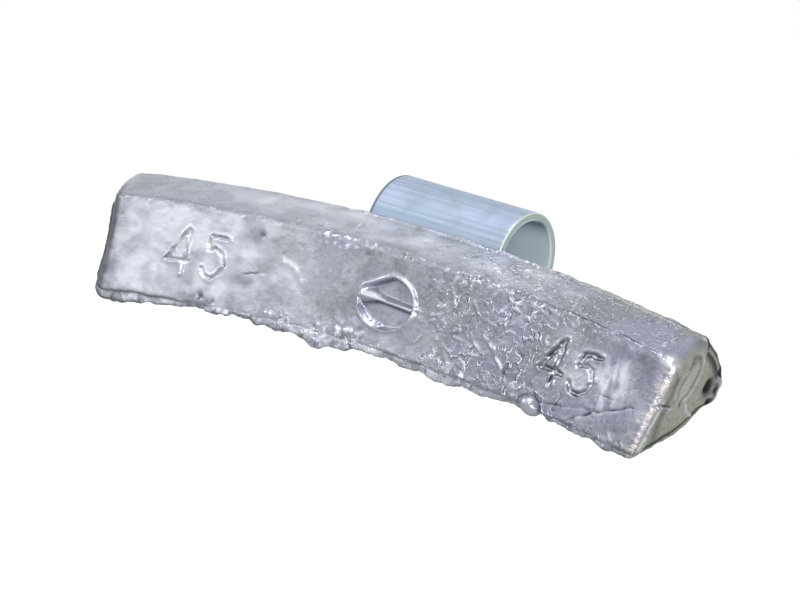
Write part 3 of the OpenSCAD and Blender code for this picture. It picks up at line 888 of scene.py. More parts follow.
def castingRelief(c, skin, points, shares):
    # heights in mm out of the smooth skin, and the marks that colour follows, painted shade and highlight
    # among them
    u, y, h, cap = skin[:4]
    relief, cracksAndShade, calm, crestsAndHighlights, dark, bright = (np.zeros(len(u)) for _ in range(6))
    some = shares["front"] > 0
    part, crackAndShade, crest, quiet = frontRelief(u[some], h[some], points[some])
    inside = smooth(c["leftEnd"] + 0.1, c["leftEnd"] + 0.9, u) * smooth(c["rightEnd"], c["rightEnd"] - 0.5, u)
    relief[some] += part * (shares["front"] * inside * (1 - shares["lowEdge"]))[some]
    cracksAndShade[some] = crackAndShade
    crestsAndHighlights[some] = crest
    calm[some] = quiet
    some = shares["slope"] > 0
    part, crackAndShade, crest = slopeRelief(u[some], shares["upSlope"][some], points[some])
    relief[some] += part * shares["slope"][some]
    cracksAndShade[some] = np.maximum(cracksAndShade[some], crackAndShade)
    crestsAndHighlights[some] = np.maximum(crestsAndHighlights[some], crest)

    # the back, the underside and the worn top edge
    rest = 1 - np.maximum.reduce([shares["front"], shares["slope"], shares["end"]])
    flow = bumps(points * np.array([0.45, 1, 1]), 1.5, 14)
    relief += rest * (0.05 * bumps(points, 4.0, 15) + 0.04 * roughBumps(points, 1.0, 24))
    relief += rest * 0.05 * np.clip(1 - 3 * np.abs(flow), 0, 1) ** 2
    wornEdge = bell(np.hypot(y - 0.15, h), 0.55) * (cap == 0)
    relief += wornEdge * (0.08 * bumps(points, 1.9, 28) + 0.06 * roughBumps(points, 0.7, 29))

    # the broken end
    some = (shares["end"] > 0) | (cap > 0)
    part, hollow, curl, lines = endRelief(y[some], h[some], points[some])
    onEnd = np.maximum(shares["end"], cap)[some]
    relief[some] += part * onEnd
    crestsAndHighlights[some] = np.maximum(crestsAndHighlights[some], lines * onEnd)
    # painted shade in the end's cavities, and its curl, painted bright as highlight
    dark[some] = hollow
    bright[some] = curl

    # the lower edge, the lump at its left end, and the rubbed edge of the broken end
    shreds = np.clip(bumps(points, 0.6, 26) - 0.25, 0, 1)
    relief += shares["lowEdge"] * (0.16 * roughBumps(points, 1.4, 25, 2) + 0.16 * shreds)
    lowLeft = bell(np.hypot(u - c["leftEnd"], (h + c["frontH"] - 0.5) * 0.55), 1.0) * (y < 2.5)
    relief += lowLeft * (0.30 + 0.25 * bumps(points, 1.1, 30))
    comb = 0.5 + 0.5 * bumps(np.stack([u * 0.3, 0 * u, h], -1), 0.30, 113)
    relief -= 0.10 * shares["endEdge"] * smooth(0.55, 0.25, comb)
    return relief, {
        "cracksAndShade": cracksAndShade, "crestsAndHighlights": crestsAndHighlights, "calm": calm, "dark": dark, "bright": bright, "comb": comb,
    }


# how pale each place is, as shares of the bloom-and-highlight tone; the crests are painted pale as highlight
bloomAndHighlightShares = {
    "left": (0.44, 0.36, 0.28),   # the whole left half, more in its clouds, more in its streaks
    "front": 0.22,
    "slope": 0.25,
    "lowEdge": (0.15, 0.60),      # and more in the middle of the bar
    "wornTop": 0.85,              # the top edge has lost this share of it
    "crestsAndHighlights": 0.95,
    "endEdge": 0.22,
}

# how dark each place is made, as shares of the dirt-and-shade tone: dull dirt in the clouds, blots and
# crumpled places and on the ridge; darker along the cracks and pits; painted shade in the recess, down the
# figures' flanks, in the end's cavities, down the left edge, in the crevice over the flash and round the
# drop's foot; darker along the broken rim, the top edge and the slope's right; a second number is what one
# side of the bar adds
dirtAndShadeShares = {
    "cracksAndShade": 0.85,
    "cavities": 1.3,
    "clouds": 0.5,
    "crumpled": 0.09,
    "leftEdge": 0.68,
    "brokenRim": 0.88,
    "crevice": 0.48,
    "blots": (0.25, 0.20),
    "slope": 0.18,
    "topEdge": (0.18, 0.27),
    "ridge": (0.42, 0.36),
    "dropFoot": 0.7,
}


def castingBloom(skin, points, shares, marks):
    # where the lead is pale with bloom, or painted pale as highlight on its crests, and where its clouds are
    # dull instead
    b = bloomAndHighlightShares
    u, y, h, cap = skin[:4]
    front, slope = shares["front"], shares["slope"]
    cloud = 0.5 + 0.5 * roughBumps(points, 2.4, 111)
    streaky = 0.5 + 0.5 * roughBumps(points * np.array([0.6, 1, 1.4]), 1.5, 112)
    upright = 0.5 + 0.5 * roughBumps(points * np.array([1, 1, 0.35]), 0.8, 117)
    frost = bumps(points * np.array([1.6, 1, 0.30]), 0.45, 118)
    least, inClouds, inStreaks = b["left"]
    paleLeft = least + inClouds * smooth(0.25, 0.7, cloud) + inStreaks * smooth(0.3, 0.8, streaky)
    bloomAndHighlight = front * smooth(-6, -15, u) * paleLeft
    bloomAndHighlight += front * b["front"] * smooth(0.50, 0.85, cloud)
    bloomAndHighlight += front * bell(u - 24.5, 1.7) * bell(h + 4.2, 2.3) * smooth(0.25, 0.70, upright + 0.30 * frost)
    bloomAndHighlight += slope * b["slope"] * smooth(0.3, 0.9, cloud) * smooth(20, 14, u)
    bloomAndHighlight += front * cloudShade(u, h, frontClouds, points)
    bloomAndHighlight += slope * cloudShade(u, shares["upSlope"], slopeClouds, points)
    dulled = np.clip(-bloomAndHighlight, 0, 1)
    bloomAndHighlight = bloomAndHighlight * (1 - b["wornTop"] * bell(np.hypot(y - 0.15, h), 0.5) * (cap == 0))
    least, inMiddle = b["lowEdge"]
    paleLow = least + inMiddle * smooth(-13, -8, u) * smooth(16, 10, u)
    bloomAndHighlight += shares["lowEdge"] * paleLow * smooth(0.2, 0.7, streaky)
    # the crests are painted pale as highlight
    bloomAndHighlight = np.maximum(np.clip(bloomAndHighlight, 0, 1), b["crestsAndHighlights"] * marks["crestsAndHighlights"])
    bloomAndHighlight = np.maximum(bloomAndHighlight, b["endEdge"] * shares["endEdge"] * smooth(0.3, 0.7, marks["comb"]))
    return bloomAndHighlight, dulled


def castingDirtAndShade(c, skin, points, shares, marks, edgeLine):
    # dirt, painted shade and plain darkening: in the cracks, pits and cavities, along the edges and round the
    # drop
    d = dirtAndShadeShares
    u, y, h, cap, atBack = skin
    along = shares["along"]
    onSides = cap == 0
    wild = shares["front"] * smooth(3, 7, u) * smooth(24, 19, u)
    # darker along the cracks and in the pits; painted shade in the recess, down the figures' flanks and in
    # the end's cavities
    hollows = d["cracksAndShade"] * marks["cracksAndShade"] + d["cavities"] * marks["dark"]
    clouds = d["clouds"] * marks["dulled"] + d["crumpled"] * wild

    # the end's edges: painted shade down the left one, and the rim of the broken one made darker where the
    # back meets it
    leftEdge = (u < 0) * smooth(-0.02, -0.25, along) * smooth(3.2, 1.2, y)
    backEdge = np.maximum(smooth(0.99, 0.90, along), cap) * atBack
    brokenRim = smooth(0.15, 0.45, along) * backEdge * (u > 0) * (1 - marks["bright"])

    # painted shade in the crevice over the flash comes and goes, and is faint where the flash is flush
    flush = smooth(*flash["flushFrom"], u) * smooth(*flash["flushTo"], u)
    broken = np.clip(smooth(-19, -23, u) + 0.45 + 0.9 * bumps(points, 1.0, 115), 0, 1) * (1 - 0.75 * flush)
    upFromEdge = h + c["frontH"] - np.interp(u, *edgeLine)
    crevice = bell(upFromEdge - 0.04, 0.21) * (y < 0.6) * onSides * broken
    blots = shares["lowEdge"] * smooth(0.0, 0.5, bumps(points, 0.6, 116))
    # darker along the top edge, more towards the right
    topEdge = smooth(28.4, 27.4, u) * bell(np.hypot(y - 0.15, h), 0.35)
    # painted shade round the foot of the drop
    acrossDrop = (u - drop["centre"][0]) / drop["halfSize"][0]
    upDrop = (h - drop["centre"][1]) / drop["halfSize"][1]
    dropFoot = bell(np.hypot(acrossDrop, upDrop) - 1.08, 0.12) * (y < 0.9) * onSides
    return np.maximum.reduce([
        np.clip(hollows + clouds, 0, 1),
        d["leftEdge"] * leftEdge,
        d["brokenRim"] * brokenRim,
        d["crevice"] * crevice,
        (d["blots"][0] + d["blots"][1] * smooth(-10, -14, u)) * blots,
        # darker over the right of the slope
        d["slope"] * shares["slope"] * smooth(13, 20, u),
        (d["topEdge"][0] + d["topEdge"][1] * smooth(11, 14, u)) * topEdge,
        (d["ridge"][0] + d["ridge"][1] * smooth(22, 27, u)) * marks["ridge"],
        d["dropFoot"] * dropFoot,
    ])


def castingCrumple(skin, shares, marks):
    # where the fine folds and skins of the material show
    u, h = skin[0], skin[2]
    wild = smooth(3.5, 8, u) * smooth(24, 18, u)
    crumple = np.maximum.reduce([
        wild * (shares["front"] + 0.7 * shares["slope"]),
        0.8 * shares["lowEdge"],
        0.8 * smooth(-7.4, -8.3, h) * smooth(-14, -11, u),
        0.55 * shares["slope"] * smooth(11, 15, u) * smooth(28, 26, u),
    ])
    crumple = np.clip(0.08 + 0.15 * smooth(-16, -6, u) + 0.80 * crumple, 0, 1)
    return crumple * (1 - 0.75 * marks["calm"]) * (1 - 0.8 * marks["ridge"])


def castingFields(c, skin, points, shares, marks, edgeLine):
    # what the lead's material reads: pale bloom with painted highlight on the crests, the broken end's corner
    # and its curl; worn end edge; olive end; dirt and painted shade; crumpled places; shine
    u, y, h = skin[:3]
    endEdge, bright = shares["endEdge"], marks["bright"]
    bloomAndHighlight, dulled = castingBloom(skin, points, shares, marks)
    # a painted highlight at the top corner of the broken end
    corner = bell(np.hypot(u - 29.2, (y - 0.25) * 1.2), 0.75) * smooth(1.0, 0.3, h) * smooth(-1.1, -0.2, h)
    patchy = 0.55 + 0.45 * smooth(-0.30, 0.25, bumps(np.stack([0 * u, 0 * u, h], -1), 1.5, 114))
    besideEdge = smooth(27.2, 29.2, u) ** 1.5 * shares["front"] * smooth(0.35, 0.75, marks["comb"])
    olive = np.clip(smooth(0.35, 0.9, shares["along"]) * (u > 0) * (1 - endEdge), 0, 1)
    ridge = bell(np.hypot(y - c["slopeRun"], h - c["slopeRise"] - 0.1), 0.38) * smooth(8, 12, u)
    marks = {**marks, "dulled": dulled, "ridge": ridge}
    return {
        "bloomAndHighlight": np.clip(bloomAndHighlight + corner + 0.6 * bright, 0, 1),
        "wear": patchy * np.clip(endEdge + besideEdge, 0, 1),
        "olive": np.maximum(olive, 0.7 * ridge) * (1 - bright),
        "dirtAndShade": castingDirtAndShade(c, skin, points, shares, marks, edgeLine),
        "crumple": castingCrumple(skin, shares, marks),
        "shine": np.clip(corner + bright + marks["crestsAndHighlights"], 0, 1),
    }


def makeCasting(c):
    skin, faces, edgeLine = castingSkin(c)
    points = place(c, *skin[:3])
    normals = pointNormals(points, faces)
    if np.sum((points - points.mean(0)) * normals) < 0:
        normals = -normals
        faces = [f[::-1] for f in faces]
    print("casting laid out", len(points), "points")
    shares = faceShares(c, skin, normals)
    relief, marks = castingRelief(c, skin, points, shares)
    points = points + normals * relief[:, None]
    fields = castingFields(c, skin, points, shares, marks, edgeLine)
    lump, lumpFaces = dropLump(c, drop)
    faces += [[k + len(points) for k in f] for f in lumpFaces]
    for name, values in fields.items():
        fields[name] = np.concatenate([values, np.full(len(lump), drop["fields"].get(name, 0.0))])
    return makeMesh("leadCasting", np.concatenate([points, lump]), faces, fields)


leadCasting = makeCasting(casting)
print("lead casting built", len(leadCasting.data.polygons), "faces")


# Spring clip: a strip of spring steel bent over the rim's edge, its front leg cast into the lead

clip = {
    "width": 14.0,
    "thick": 0.75,
    "bendR": 4.7,             # outside the bend
    "anchorEnd": -6.0,        # z of the foot inside the lead
    "freeEnd": -7.5,
    "cornerR": 1.4,
    "edgeR": 0.13,
    "innerEdge": 0.6,         # the share of edgeR that the inside's edges are rounded by
    "shearedOut": 0.85,       # and the share by which the sheared side stands out
    "shearedHalf": 0.12,
    "seam": (-0.976, -0.970),   # of the half width, the dark line beside the left edge lies outside these
    "stationStep": 0.22,
    "acrossSteps": 40,
    "lastSteps": (0.30, 0.18, 0.09, 0.03, 0),   # stations above the free end, where its corners are rounded
    "bendShadeAt": (78, 20),    # degrees round the bend's inside where shade is painted, and reach
    "seamDark": 0.75,
    "bendShadeDark": 0.85,
    "insideDull": 0.8,
}


def clipStations(c):
    # the strip's middle line from the foot in the lead over the bend to the free end: (y, z, outY, outZ)
    r = c["bendR"] - c["thick"] / 2
    stations = []
    for z in np.arange(c["anchorEnd"], 0, c["stationStep"]):
        stations.append((-r, z, -1.0, 0.0))
    for turn in np.linspace(math.pi, 0, round(math.pi * r / c["stationStep"])):
        stations.append((r * math.cos(turn), r * math.sin(turn), math.cos(turn), math.sin(turn)))
    first, lastZ = -c["stationStep"], c["freeEnd"] + c["lastSteps"][0] + 0.05
    for z in [*np.arange(first, lastZ, first), *(c["freeEnd"] + np.array(c["lastSteps"]))]:
        stations.append((r, z, 1.0, 0.0))
    return np.array(stations)


def makeClip(c):
    line = clipStations(c)
    half, thin, edge = c["width"] / 2, c["thick"] / 2, c["edgeR"]
    inner, out, side = c["innerEdge"] * edge, c["shearedOut"] * edge, c["shearedHalf"]
    across = np.sort(np.append(np.linspace(-1, 1, c["acrossSteps"]), c["seam"]))
    corner = np.radians(np.linspace(0, 90, 4))
    # one ring round the strip: (share of the flat width, place past it, height), outside, then inside
    ring = [(s, 0.0, thin) for s in across]
    ring += [(1.0, edge * math.sin(t), thin - edge * (1 - math.cos(t))) for t in corner[1:]]
    ring += [(1.0, out, side), (1.0, out, -side)]
    ring += [(1.0, inner * math.cos(t), -thin + inner * (1 - math.sin(t))) for t in corner[:-1]]
    ring += [(s, 0.0, -thin) for s in across[::-1]]
    ring += [(-1.0, -inner * math.sin(t), -thin + inner * (1 - math.cos(t))) for t in corner[1:]]
    ring += [(-1.0, -out, -side), (-1.0, -out, side)]
    ring += [(-1.0, -edge * math.cos(t), thin - edge * (1 - math.sin(t))) for t in corner[:-1]]
    share, past, height = np.array(ring).T
    count, size = len(line), len(ring)
    steps = np.hypot(np.diff(line[:, 0], prepend=line[0, 0]), np.diff(line[:, 1], prepend=line[0, 1]))
    travel = np.cumsum(steps)
    reach = np.full(count, half - edge)
    fromEnd = line[:, 1] - c["freeEnd"]
    rounded = (line[:, 0] > 0) & (fromEnd < c["cornerR"])
    dip = c["cornerR"] - np.sqrt(np.clip(c["cornerR"] ** 2 - (c["cornerR"] - fromEnd) ** 2, 0, None))
    reach = np.where(rounded, reach - dip, reach)
    x = reach[:, None] * share[None, :] + past[None, :]
    lift = np.repeat(height[None, :], count, 0)
    outY, outZ = line[:, 2:3], line[:, 3:4]
    points = np.stack([x, line[:, 0:1] + outY * lift, line[:, 1:2] + outZ * lift], -1).reshape(-1, 3)
    away = np.stack([0 * x, outY * np.sign(lift), outZ * np.sign(lift)], -1).reshape(-1, 3)
    points = points + away * (0.014 * bumps(points * np.array([0.25, 1, 1]), 1.6, 201))[:, None]
    grid = np.arange(count * size).reshape(count, size)
    beside = np.roll(grid, -1, 1)
    faces = np.stack([grid[:-1], beside[:-1], beside[1:], grid[1:]], -1).reshape(-1, 4).tolist()
    faces += [grid[0, ::-1].tolist(), grid[-1].tolist()]
    # what the plating reads: the way along the strip, the sheared edges with a painted highlight along the
    # burr, the inside, and dark places: a dark line beside the left edge and painted shade round the top of
    # the bend's inside
    allAlong = np.ones((count, 1))
    cutEdge = allAlong * (np.abs(past) > 0.6 * edge)
    inside = allAlong * (height < 0)
    seam = allAlong * ((share < sum(c["seam"]) / 2) & (height > 0))
    turn = np.degrees(np.arctan2(line[:, 1], line[:, 0]))
    # painted shade round the top of the bend's inside
    darkShade = bell(turn - c["bendShadeAt"][0], c["bendShadeAt"][1])[:, None] * (height < 0) * (share > -0.9)
    fields = {
        "travel": np.repeat(travel[:, None], size, 1) / 10,
        "cutEdge": cutEdge,
        "inside": inside,
        # painted highlight along the burr of the sheared edge
        "burrHighlightLine": allAlong * ((past > 0.2 * edge) & (past < 0.95 * edge) & (height > 0.2)),
        "dark": np.maximum(c["seamDark"] * seam, c["bendShadeDark"] * darkShade * (1 - cutEdge)),
        "dull": np.maximum(cutEdge, c["insideDull"] * inside),
    }
    return makeMesh("springClip", points, faces, {name: values.ravel() for name, values in fields.items()})


springClip = makeClip(clip)
print("spring clip built", len(springClip.data.polygons), "faces")


# Materials

def linear(hexColour):
    values = [int(hexColour[k:k + 2], 16) / 255 for k in (1, 3, 5)]
    return [v / 12.92 if v <= 0.04045 else ((v + 0.055) / 1.055) ** 2.4 for v in values] + [1.0]


def node(tree, kind, inputs=(), **settings):
    # adds a node; inputs are values, sockets to link in, or nodes whose first output is linked in
    made = tree.nodes.new(kind)
    for name, value in settings.items():
        setattr(made, name, value)
    for name, value in dict(inputs).items():
        value = value.outputs[0] if isinstance(value, bpy.types.Node) else value
        if isinstance(value, bpy.types.NodeSocket):
            tree.links.new(value, made.inputs[name])
        else:
            made.inputs[name].default_value = value
    return made


def newMaterial(name):
    material = bpy.data.materials.new(name)
    material.use_nodes = True
    material.node_tree.nodes.clear()
    return material, material.node_tree


def perMm(size):
    # noise scale, per metre, for lumps of that size in mm
    return 1000.0 / size


def patterns(tree, c, places):
    # a material's noises, and the shares worked out from them, by name; places says where each noise lies
    noises, shares = {}, {}
    for name, (scale, detail, roughness) in c["noises"].items():
        spot = places.get(name, places["all"])
        noises[name] = node(tree, "ShaderNodeTexNoise", {
            "Vector": spot, "Scale": scale, "Detail": detail, "Roughness": roughness})
    for name, (source, low, high, first, last) in c["shares"].items():
        shares[name] = node(tree, "ShaderNodeMapRange", {
            "Value": noises[source], "From Min": low, "From Max": high, "To Min": first, "To Max": last})
    return noises, shares


lead = {
    "pale": "#B4B9C6",
    "grey": "#9A9FA7",
    "lavender": "#ABAEC8",
    "bloomAndHighlight": "#F1F4FF",
    "olive": "#BCBFB1",
    "hollow": "#7E828B",
    # painted highlight along the fine folds
    "fold": "#E9EFFF",
    "wear": "#F6EAE7",
    "dirtAndShade": "#34363A",
    "metallic": 0.85,
    "roughAt": {"bloomAndHighlight": 0.42, "olive": 0.50, "wear": 0.55, "shine": 0.18},
    "noises": {               # (scale, detail, roughness)
        "cloud": (perMm(3.2), 6, 0.66),
        "tint": (perMm(6.0), 3, 0.5),
        "grain": (perMm(0.32), 3, 0.6),     # coarser than the mould's real grain so that it shows
        "speck": (perMm(0.55), 2, 0.6),
        "gate": (perMm(2.0), 1, 0.5),       # where the fine folds come and go
        "warp": (perMm(0.9), 2, 0.5),       # how coarsely the frozen skins' edges wander
        "comb": (perMm(0.13), 2, 0.5),      # rub marks across the right end's edge
    },
    "shares": {               # (noise, its values at the start and the stop, the shares there)
        "pale": ("cloud", 0.36, 0.64, 0, 1),
        "rough": ("cloud", 0.36, 0.64, 0.20, 0.36),
        "lavender": ("tint", 0.45, 0.68, 0, 0.7),
        "hollow": ("grain", 0.30, 0.48, 0.60, 0),
        "speck": ("speck", 0.56, 0.80, 0, 1),
        "gate": ("gate", 0.45, 0.52, 0, 1),
        "comb": ("comb", 0.42, 0.54, 0, 1),
    },
    "warpBy": 1.0,            # mm
    "skinMm": 1.25,           # size of a frozen skin
    "skinTilt": 0.05,
    "foldMm": 1.35,           # distance between the fine folds
    "foldLean": 24,           # degrees, most run down and to the right
    "foldStretch": (1.25, 1, 0.6),
    "foldWide": 0.026,        # of the noise whose middle value the folds follow
    "foldFoot": 1.7,          # how many widths the dark foot lies beside the fold
    "foldHigh": 0.035,
    "footShade": 0.62,
    "calmGrain": 0.4,         # the share of the grain that calm lead has
    "grainHigh": 0.055,
    "speckHigh": 0.11,
    "combLean": 8.3,          # degrees, they lie along the arc there
    "combStretch": (0.10, 1, 1),
}


def castLeadMaterial(c):
    # as-cast antimonial lead: the skin froze against the mould, so it is a soft grey metal, dull in the
    # clouds of oxide, with thin skins frozen one over the other; its folds and crests are painted bright, as
    # rubbed metal and as highlight, the broken end's corner as highlight, and shade is painted along the
    # folds' feet and in the dirt-and-shade marks
    material, tree = newMaterial("asCastLead")
    spot = node(tree, "ShaderNodeTexCoord").outputs["Object"]
    turned = node(tree, "ShaderNodeMapping", {
        "Vector": spot, "Rotation": (0, math.radians(c["combLean"]), 0), "Scale": c["combStretch"]})
    noises, shares = patterns(tree, c, {"all": spot, "comb": turned})
    fields = {}
    for name in ("bloomAndHighlight", "wear", "olive", "dirtAndShade", "shine", "crumple"):
        fields[name] = node(tree, "ShaderNodeAttribute", attribute_name=name).outputs["Fac"]

    # skins: each cell is tilted its own way
    warp = noises["warp"].outputs["Color"]
    reach = (c["warpBy"] * mm,) * 3
    bent = node(tree, "ShaderNodeVectorMath", {0: warp, 1: reach, 2: spot}, operation="MULTIPLY_ADD")
    cell = node(tree, "ShaderNodeTexVoronoi", {"Vector": bent, "Scale": perMm(c["skinMm"])}).outputs
    away = node(tree, "ShaderNodeVectorMath", {0: bent, 1: cell["Position"]}, operation="SUBTRACT")
    lean = node(tree, "ShaderNodeVectorMath", {0: cell["Color"], 1: (0.5, 0.5, 0.5)}, operation="SUBTRACT")
    tilt = node(tree, "ShaderNodeVectorMath", {0: away, 1: lean}, operation="DOT_PRODUCT").outputs["Value"]
    tiltHigh = node(tree, "ShaderNodeMath", {0: tilt, 1: 1000 * c["skinTilt"]}, operation="MULTIPLY")

    # fine folds: raised lines painted bright as highlight, with painted shade along their foot, which follow
    # the middle value of a noise and come and go
    along = node(tree, "ShaderNodeMapping", {
        "Vector": bent, "Rotation": (0, math.radians(c["foldLean"]), 0), "Scale": c["foldStretch"]})
    value = node(tree, "ShaderNodeTexNoise", {"Vector": along, "Scale": perMm(c["foldMm"]), "Detail": 1.0})
    fromLine = node(tree, "ShaderNodeMath", {0: value, 1: 0.5}, operation="SUBTRACT")
    fromFoot = node(tree, "ShaderNodeMath", {0: fromLine, 1: c["foldFoot"] * c["foldWide"]}, operation="ADD")
    shown = node(tree, "ShaderNodeMath", {0: shares["gate"], 1: fields["crumple"]}, operation="MULTIPLY")
    bands = []
    for distance in (fromLine, fromFoot):
        size = node(tree, "ShaderNodeMath", {0: distance}, operation="ABSOLUTE")
        band = node(tree, "ShaderNodeMapRange", {
            "Value": size, "From Min": 0.0, "From Max": c["foldWide"], "To Min": 1.0, "To Max": 0.0})
        bands.append(node(tree, "ShaderNodeMath", {0: band, 1: shown}, operation="MULTIPLY"))
    fold, foot = bands
    footShade = node(tree, "ShaderNodeMath", {0: foot, 1: c["footShade"]}, operation="MULTIPLY")

    # heights: tilted skins with specks and folds, which show where the lead is crumpled, and grain
    skins = node(tree, "ShaderNodeMath", {
        0: shares["speck"], 1: c["speckHigh"], 2: tiltHigh}, operation="MULTIPLY_ADD")
    skinsShown = node(tree, "ShaderNodeMath", {0: skins, 1: fields["crumple"]}, operation="MULTIPLY")
    rugged = node(tree, "ShaderNodeMath", {
        0: fold, 1: c["foldHigh"], 2: skinsShown}, operation="MULTIPLY_ADD")
    coarse = node(tree, "ShaderNodeMath", {
        0: fields["crumple"], 1: 1 - c["calmGrain"], 2: c["calmGrain"]}, operation="MULTIPLY_ADD")
    grain = node(tree, "ShaderNodeMath", {0: noises["grain"], 1: coarse}, operation="MULTIPLY")
    height = node(tree, "ShaderNodeMath", {0: grain, 1: c["grainHigh"], 2: rugged}, operation="MULTIPLY_ADD")

    wear = node(tree, "ShaderNodeMath", {0: shares["comb"], 1: fields["wear"]}, operation="MULTIPLY")
    colour = linear(c["grey"])
    # tones laid one over another: the fold lines are painted highlight and their feet painted shade, and the
    # bloom-and-highlight and dirt-and-shade fields carry painted highlight and shade too
    layers = [
        (shares["pale"], "pale"), (shares["lavender"], "lavender"), (fields["olive"], "olive"),
        (shares["hollow"], "hollow"), (fields["bloomAndHighlight"], "bloomAndHighlight"), (footShade, "dirtAndShade"),
        (fold, "fold"), (wear, "wear"), (fields["dirtAndShade"], "dirtAndShade"),
    ]
    for share, name in layers:
        colour = node(tree, "ShaderNodeMix", {
            0: share, 6: colour, 7: linear(c[name])}, data_type="RGBA").outputs[2]
    rough = shares["rough"]
    for name, value in c["roughAt"].items():
        rough = node(tree, "ShaderNodeMix", {"Factor": fields[name], "A": rough, "B": value})
    bump = node(tree, "ShaderNodeBump", {"Height": height, "Strength": 1.0, "Distance": mm})
    skin = node(tree, "ShaderNodeBsdfPrincipled", {
        "Base Color": colour, "Metallic": c["metallic"], "Roughness": rough, "Normal": bump})
    node(tree, "ShaderNodeOutputMaterial", {"Surface": skin})
    return material


zinc = {
    "pale": "#BAC6DA",
    "blue": "#97A9C1",
    "grey": "#98A5B2",
    "cyan": "#A0BED4",
    "lavender": "#B9BEE0",
    "cut": "#B7CAC1",
    # painted highlight along the burr of the sheared edge
    "burrHighlight": "#E4ECEA",
    # the inside of the bend, painted paler than the plating as painted light
    "inside": "#E8F8FF",
    # painted shade round the top of the bend's inside, and the dark line beside the left edge
    "darkShade": "#56616C",
    "metallic": 0.9,
    "dullMetallic": 0.2,      # the sheared edge and the inside of the bend
    "noises": {               # (scale, detail, roughness)
        "streak": (1.0, 5, 0.7),            # its place is counted in streaks
        "mottle": (perMm(2.2), 4, 0.5),
        "hue": (perMm(3.0), 3, 0.5),
        "grain": (perMm(0.3), 3, 0.5),
    },
    "shares": {               # (noise, its values at the start and the stop, the shares there)
        "pale": ("streak", 0.38, 0.62, 0, 1),
        "rough": ("streak", 0.3, 0.7, 0.36, 0.50),
        "cyan": ("hue", 0.46, 0.32, 0, 0.45),
        "lavender": ("hue", 0.52, 0.66, 0, 0.45),
        "grey": ("mottle", 0.45, 0.7, 0, 0.6),
    },
    "streakMm": 0.30,         # across the streaks, coarser than the real drawing lines so that they show
    "streakRun": 0.03,        # how slowly a streak changes along its length
    "streakHigh": 0.006,
    "hueStretch": (0.35, 1, 1),
    "grainHigh": 0.010,
}


def zincMaterial(c):
    # zinc-plated spring steel strip: rolled, so faint lines run along the clip's width; bright zinc with the
    # blue of its passivation, and a dull greenish edge where the strip was sheared. A highlight is painted
    # along the burr of the sheared edge, shade is painted round the top of the bend's inside, and the inside
    # of the bend is painted paler than the plating, as painted light
    material, tree = newMaterial("zincPlatedSpringSteel")
    spot = node(tree, "ShaderNodeTexCoord").outputs["Object"]
    fields = {}
    for name in ("travel", "inside", "cutEdge", "burrHighlightLine", "dark", "dull"):
        fields[name] = node(tree, "ShaderNodeAttribute", attribute_name=name).outputs["Fac"]
    sideways = node(tree, "ShaderNodeSeparateXYZ", {"Vector": spot})
    run = node(tree, "ShaderNodeMath", {0: sideways, 1: 1000 * c["streakRun"]}, operation="MULTIPLY")
    over = node(tree, "ShaderNodeMath", {0: fields["travel"], 1: 10 / c["streakMm"]}, operation="MULTIPLY")
    lines = node(tree, "ShaderNodeCombineXYZ", {"X": run, "Y": over})
    wide = node(tree, "ShaderNodeMapping", {"Vector": spot, "Scale": c["hueStretch"]})
    noises, shares = patterns(tree, c, {"all": spot, "streak": lines, "hue": wide})
    colour = linear(c["blue"])
    layers = [
        (shares["pale"], "pale"), (shares["cyan"], "cyan"), (shares["lavender"], "lavender"),
        (shares["grey"], "grey"), (fields["inside"], "inside"), (fields["cutEdge"], "cut"),
        (fields["burrHighlightLine"], "burrHighlight"), (fields["dark"], "darkShade"),
    ]
    for share, name in layers:
        colour = node(tree, "ShaderNodeMix", {
            0: share, 6: colour, 7: linear(c[name])}, data_type="RGBA").outputs[2]
    drawn = node(tree, "ShaderNodeMath", {0: noises["streak"], 1: c["streakHigh"]}, operation="MULTIPLY")
    height = node(tree, "ShaderNodeMath", {
        0: noises["grain"], 1: c["grainHigh"], 2: drawn}, operation="MULTIPLY_ADD")
    bump = node(tree, "ShaderNodeBump", {"Height": height, "Strength": 1.0, "Distance": mm})
    metallic = node(tree, "ShaderNodeMix", {
        "Factor": fields["dull"], "A": c["metallic"], "B": c["dullMetallic"]})
    plate = node(tree, "ShaderNodeBsdfPrincipled", {
        "Base Color": colour, "Metallic": metallic, "Roughness": shares["rough"], "Normal": bump})
    node(tree, "ShaderNodeOutputMaterial", {"Surface": plate})
    return material


leadCasting.data.materials.append(castLeadMaterial(lead))
springClip.data.materials.append(zincMaterial(zinc))
print("materials made")

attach(leadCasting, "root")
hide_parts("lead_body")
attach(springClip, "root")
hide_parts("spring_clip")


# Studio: a white sweep and floor; the metal sees a bright room above, dimmer at eye level and to the right

studio = {
    "floorSize": 3.0,         # m
    "floorGlow": 0.89,        # how white the floor is in full shadow
    "floorColour": "#A6A6A6",
    "floorMirror": 0.30,      # the glow's share that the metal shows
    "ambient": 0.75,          # what dull surfaces get from all round
    "left": (-0.9, 0.1, 0.2),   # the way of the bright side
    "room": [                 # as the metal sees it: (way, its values at the start and the stop, light there)
        ("up", -0.02, 0.32, 0.70, 1.15, "SMOOTHSTEP"),
        ("back", -0.3, 0.4, 1.0, 0.80, "LINEAR"),
        ("up", 0.4, 1.0, 1.0, 0.90, "LINEAR"),
        ("left", -0.5, 0.4, 0.40, 1.0, "LINEAR"),
    ],
    "lamps": {                # place and size in m, power in W
        "softbox": {"place": (-0.06, -0.20, 0.60), "size": 0.24, "watts": 0.9},
        "side": {"place": (-0.56, -0.20, 0.22), "size": 0.12, "watts": 0.30},
        "key": {"place": (0.06, -0.46, 0.38), "size": 0.10, "watts": 0.35},
        "edge": {"place": (0.42, -0.27, 0.03), "size": 0.20, "watts": 0.13},
        "near": {"place": (0.30, -0.40, 0.05), "size": 0.20, "watts": 0.95},
    },
}


